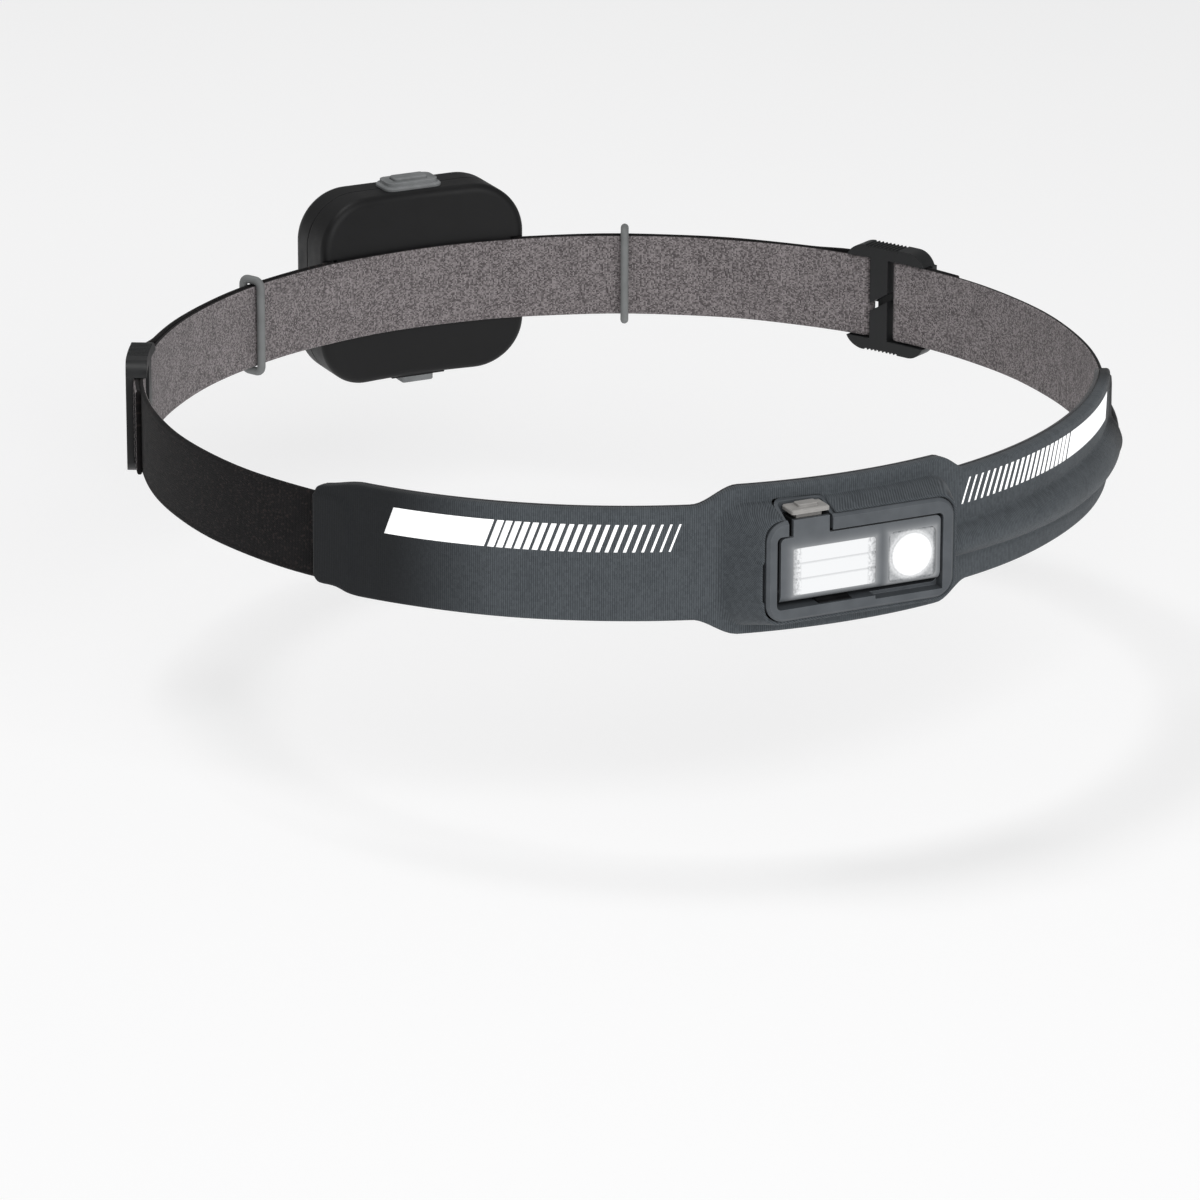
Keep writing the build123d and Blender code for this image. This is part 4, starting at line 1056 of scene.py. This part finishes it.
def strap_section():
    """Closed outline of the elastic: thickness first, then height, with corded selvedges."""
    half_t = STRAP_T / 2
    half_w = STRAP_W / 2
    cord = half_t + SELVEDGE
    profile = [(0.30, half_w - 0.06), (0.50, half_w - 0.25), (cord, half_w - 0.6)]
    profile += [(cord, half_w - 1.0), (half_t - 0.07, half_w - 1.35), (half_t, half_w - 1.7)]
    inner = [(half_t, z) for z in np.linspace(half_w - 3.0, -(half_w - 3.0), 9)]
    side = profile + inner + [(t, -z) for t, z in profile][::-1]
    return [(0.0, half_w)] + side + [(0.0, -half_w)] + [(-t, z) for t, z in side[::-1]]


def strap_arc(radius, start, end):
    count = max(2, int(abs(end - start) / 0.8))
    return on_loop(radius, np.linspace(start, end, count + 1), 0.0)[:, :2]


def strap_bend(degrees, bulge, outwards):
    """Half turn round a slider bar, from the inner to the outer layer or back."""
    centre = on_loop(STRAP_R + TURN_R, degrees, 0.0)[:2]
    along, out = axes_at(degrees)
    sweep = np.radians(np.linspace(0, 180, 15))[1:-1]
    points = [centre + TURN_R * (math.sin(t) * bulge * along - math.cos(t) * out)[:2] for t in sweep]
    return np.array(points if outwards else points[::-1])


def strap_slope(from_radius, from_deg, to_radius, to_deg):
    share = np.linspace(0, 1, 9)[1:-1]
    radius = from_radius + (to_radius - from_radius) * smooth(0, 1, share)
    return on_loop(radius, from_deg + (to_deg - from_deg) * share, 0.0)[:, :2]


def build_strap(name, path, node, seed):
    """Elastic swept along a plan path. Its left side is the heathered face."""
    path = np.vstack(path)
    run = run_along(path)
    tangent = np.gradient(path, run, axis=0)
    tangent /= np.linalg.norm(tangent, axis=1)[:, None]
    left = np.stack([-tangent[:, 1], tangent[:, 0]], axis=1)
    section = strap_section()
    rows = []
    coordinates = []
    for place, side, length in zip(path, left, run):
        ripple = 0.07 * math.sin(length * 0.21 + seed) + 0.05 * math.sin(length * 0.083 + 2 * seed)
        for thick, z in section:
            rows.append((*(place + side * thick), z + ripple * z / STRAP_W))
            coordinates.append((length * MM, thick * MM, z * MM))
    columns = len(section)
    faces = grid_faces(len(path), columns, wrap=True)
    thickness = np.array([thick for thick, z in section])
    side_of = [(thickness[k] + thickness[(k + 1) % columns]) / 2 for k in range(columns)]
    slots = [0 if side_of[index % columns] > 0.35 else 1 for index in range(len(faces))]
    faces.append(tuple(range(columns)))
    faces.append(tuple(range((len(path) - 1) * columns, len(path) * columns)))
    slots += [1, 1]
    strap = new_object(name, rows, faces, [heather, dark], slots)
    fix_normals(strap)
    store(strap, "cloth", coordinates)
    attach(strap, "headband", node)


def mirrored(pieces):
    """The same path on the other side of the head, still running the same way round."""
    return [piece[::-1] * np.array([-1, 1]) for piece in pieces[::-1]]


def front_strap_path():
    """Right front strap: from the panel's pocket, round the slider's front bar, to its seam."""
    return [
        strap_arc(STRAP_R, PANEL_END - 7.0, FRONT_TURN),
        strap_bend(FRONT_TURN, 1, True),
        strap_arc(OUTER_R, FRONT_TURN, RETURN_TO),
        strap_slope(OUTER_R, RETURN_TO, SEWN_R, SEWN_FROM),
        strap_arc(SEWN_R, SEWN_FROM, SEWN_TO),
    ]


def rear_strap_path():
    """Rear strap: tail, turn, the whole inner run, turn and tail."""
    half = [
        strap_arc(TAIL_R, TAIL_END, TAIL_LAID),
        strap_slope(TAIL_R, TAIL_LAID, OUTER_R, TAIL_TURN),
        strap_arc(OUTER_R, TAIL_TURN, REAR_TURN),
        strap_bend(REAR_TURN, -1, False),
    ]
    return half + [strap_arc(STRAP_R, REAR_TURN, 360 - REAR_TURN)] + mirrored(half)


def build_straps():
    right = front_strap_path()
    build_strap("elastic_front_right", right, "strap_front_right", 1.0)
    build_strap("elastic_front_left", mirrored(right), "strap_front_left", 2.0)
    build_strap("elastic_rear", rear_strap_path(), "rear_strap", 3.0)


def build_stitches():
    """Zigzag bar tacks that hold the front straps' returned ends."""
    vertices = []
    faces = []
    radius = SEWN_R + STRAP_T / 2 + 0.05
    sides, rings = 6, 6
    turns = np.radians(np.arange(0, 360, 360 // sides))
    for side in (-1, 1):
        for column in TACKS_AT:
            for index in range(22):
                middle = -STRAP_W / 2 + 1.4 + index * 0.82
                lean = 0.42 if index % 2 else -0.42
                start = len(vertices)
                for share in np.linspace(0, 1, rings):
                    degrees = column - 0.35 + 0.7 * share
                    level = middle - lean + 2 * lean * share
                    swell = 0.12 * math.sqrt(max(1 - (2 * share - 1) ** 2, 0.08))
                    for turn in turns:
                        lifted = radius + swell * math.cos(turn) + 0.05 * math.sin(math.pi * share)
                        point = on_loop(lifted, side * degrees, level + swell * 1.3 * math.sin(turn))
                        vertices.append(point.tolist())
                faces += grid_faces(rings, sides, start, wrap=True)
                faces.append(tuple(range(start, start + sides)))
                faces.append(tuple(range(start + sides * (rings - 1), start + sides * rings)))
    tacks = new_object("strap_stitching", vertices, faces, [FINISHES["sewing_thread"]])
    fix_normals(tacks)
    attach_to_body(tacks, "headband")


def build_keeper(name, node, degrees):
    """Round moulded wire bent into a loop round both layers of strap."""
    inner = STRAP_R - STRAP_T / 2 - 0.25
    outer = TAIL_R + STRAP_T / 2 + 0.25
    half_depth = (outer - inner + KEEPER_WIRE) / 2
    half_height = (STRAP_W + 0.7 + KEEPER_WIRE) / 2
    middle = (inner + outer) / 2
    path = []
    for x, z, start in ((1, 1, 0), (-1, 1, 90), (-1, -1, 180), (1, -1, 270)):
        centre = (x * (half_depth - KEEPER_BEND), z * (half_height - KEEPER_BEND))
        path.append(arc(centre, KEEPER_BEND, start, start + 90, 8))
    path = np.vstack(path)
    dense = []
    for here, following in zip(path, np.roll(path, -1, axis=0)):
        gap = np.linalg.norm(following - here)
        steps = max(1, int(gap / 1.2))
        dense += [here + (following - here) * k / steps for k in range(steps)]
    path = np.array(dense)
    tangent = np.roll(path, -1, axis=0) - np.roll(path, 1, axis=0)
    tangent /= np.linalg.norm(tangent, axis=1)[:, None]
    along, out = axes_at(degrees)
    up = np.array([0.0, 0.0, 1.0])
    vertices = []
    sides = 16
    for place, heading in zip(path, tangent):
        centre = out * (middle + place[0]) + up * place[1]
        normal = out * heading[1] - up * heading[0]
        for step in range(sides):
            angle = 2 * math.pi * step / sides
            flash = 1.0 + 0.02 * math.cos(2 * angle)
            spoke = math.cos(angle) * normal + math.sin(angle) * along
            vertices.append(centre + KEEPER_WIRE / 2 * flash * spoke)
    faces = grid_faces(len(path), sides, wrap=True)
    last = (len(path) - 1) * sides
    for step in range(sides):
        following = (step + 1) % sides
        faces.append((last + step, last + following, following, step))
    keeper = new_object(name, vertices, faces, [FINISHES["keeper_rubber"]])
    fix_normals(keeper)
    attach(keeper, node, node)


# ---- stage

FLOOR_Z = -66.0
FLOOR_HALF = 12000.0
FLOOR_GLOW = 0.46
WORLD_LIGHT = 0.28
CAMERA_LENS = 222.6
CAMERA_AZIMUTH = -26.2
CAMERA_ELEVATION = 17.8
CAMERA_DISTANCE = 1716.0
CAMERA_ROLL = 0.13
AIM_RIGHT = 4.88
AIM_UP = 43.4


def build_floor():
    size = FLOOR_HALF
    corners = [(x, y, FLOOR_Z) for x, y in ((-size, -size), (size, -size), (size, size), (-size, size))]
    look = Look("pale_floor")
    grain = look.noise(look.place(), 0.002, 2.0)
    colour = look.blend(grain, linear(200, 200, 201), linear(204, 204, 204))
    pale = look.finish(
        Base_Color=colour, Roughness=0.9, Specular_IOR_Level=0.0,
        Emission_Color=WHITE, Emission_Strength=FLOOR_GLOW,
    )
    floor = new_object("floor", corners, [(0, 1, 2, 3)], [pale])


def build_world():
    """Pale to the camera, softer as light."""
    world = bpy.data.worlds.new("studio")
    bpy.context.scene.world = world
    world.use_nodes = True
    tree = world.node_tree
    background = tree.nodes["Background"]
    background.inputs["Color"].default_value = WHITE
    path = tree.nodes.new("ShaderNodeLightPath")
    share = tree.nodes.new("ShaderNodeMapRange")
    tree.links.new(path.outputs["Is Camera Ray"], share.inputs[0])
    share.inputs[3].default_value = WORLD_LIGHT
    share.inputs[4].default_value = 1.0
    tree.links.new(share.outputs[0], background.inputs["Strength"])


def soft_light(name, place, size, power):
    """Round soft light facing the origin, in metres and watts."""
    light = bpy.data.lights.new(name, "AREA")
    light.shape = "DISK"
    light.size = size
    light.energy = power
    obj = bpy.data.objects.new(name, light)
    bpy.context.scene.collection.objects.link(obj)
    obj.location = place
    obj.rotation_mode = "QUATERNION"
    obj.rotation_quaternion = (-Vector(place)).to_track_quat("-Z", "Y")


def build_camera():
    """Long lens turned about +Z by its azimuth from -Y, and rolled slightly."""
    azimuth = math.radians(CAMERA_AZIMUTH)
    elevation = math.radians(CAMERA_ELEVATION)
    back = Vector((
        math.sin(azimuth) * math.cos(elevation),
        -math.cos(azimuth) * math.cos(elevation),
        math.sin(elevation),
    ))
    right = Vector((math.cos(azimuth), math.sin(azimuth), 0.0))
    up = back.cross(right)
    place = back * CAMERA_DISTANCE * MM
    target = -(right * AIM_RIGHT + up * AIM_UP) * MM
    data = bpy.data.cameras.new("camera")
    data.lens = CAMERA_LENS
    data.sensor_width = 36.0
    data.clip_start = 0.05
    data.clip_end = 60.0
    camera = bpy.data.objects.new("camera", data)
    bpy.context.scene.collection.objects.link(camera)
    camera.location = place
    camera.rotation_mode = "QUATERNION"
    heading = (target - place).to_track_quat("-Z", "Y")
    roll = Quaternion((0.0, 0.0, 1.0), math.radians(CAMERA_ROLL))
    camera.rotation_quaternion = heading @ roll
    bpy.context.scene.camera = camera


# ---- assembly

dress_cad_nodes()
build_panel()
build_lining()
build_print(
    "print_left", "reflective_left", low=4.25, high=10.5,
    solid_from=-53.0, solid_to=-41.0, stripes=21, step=STRIPE_PITCH,
)
build_print(
    "print_right", "reflective_right", low=6.0, high=11.8,
    solid_from=53.0, solid_to=37.0, stripes=20, step=-1.05 * STRIPE_PITCH,
)
build_straps()
build_stitches()
build_keeper("keeper_loop_right", "keeper_right", KEEPER_AT)
build_keeper("keeper_loop_left", "keeper_left", -KEEPER_AT)

build_floor()
build_world()
soft_light("top_light", (-0.3, 0.40, 1.4), size=0.6, power=7.0)
soft_light("front_light", (-0.1, -1.9, 1.0), size=2.2, power=33.0)
build_camera()
bpy.context.scene.view_settings.view_transform = "Standard"
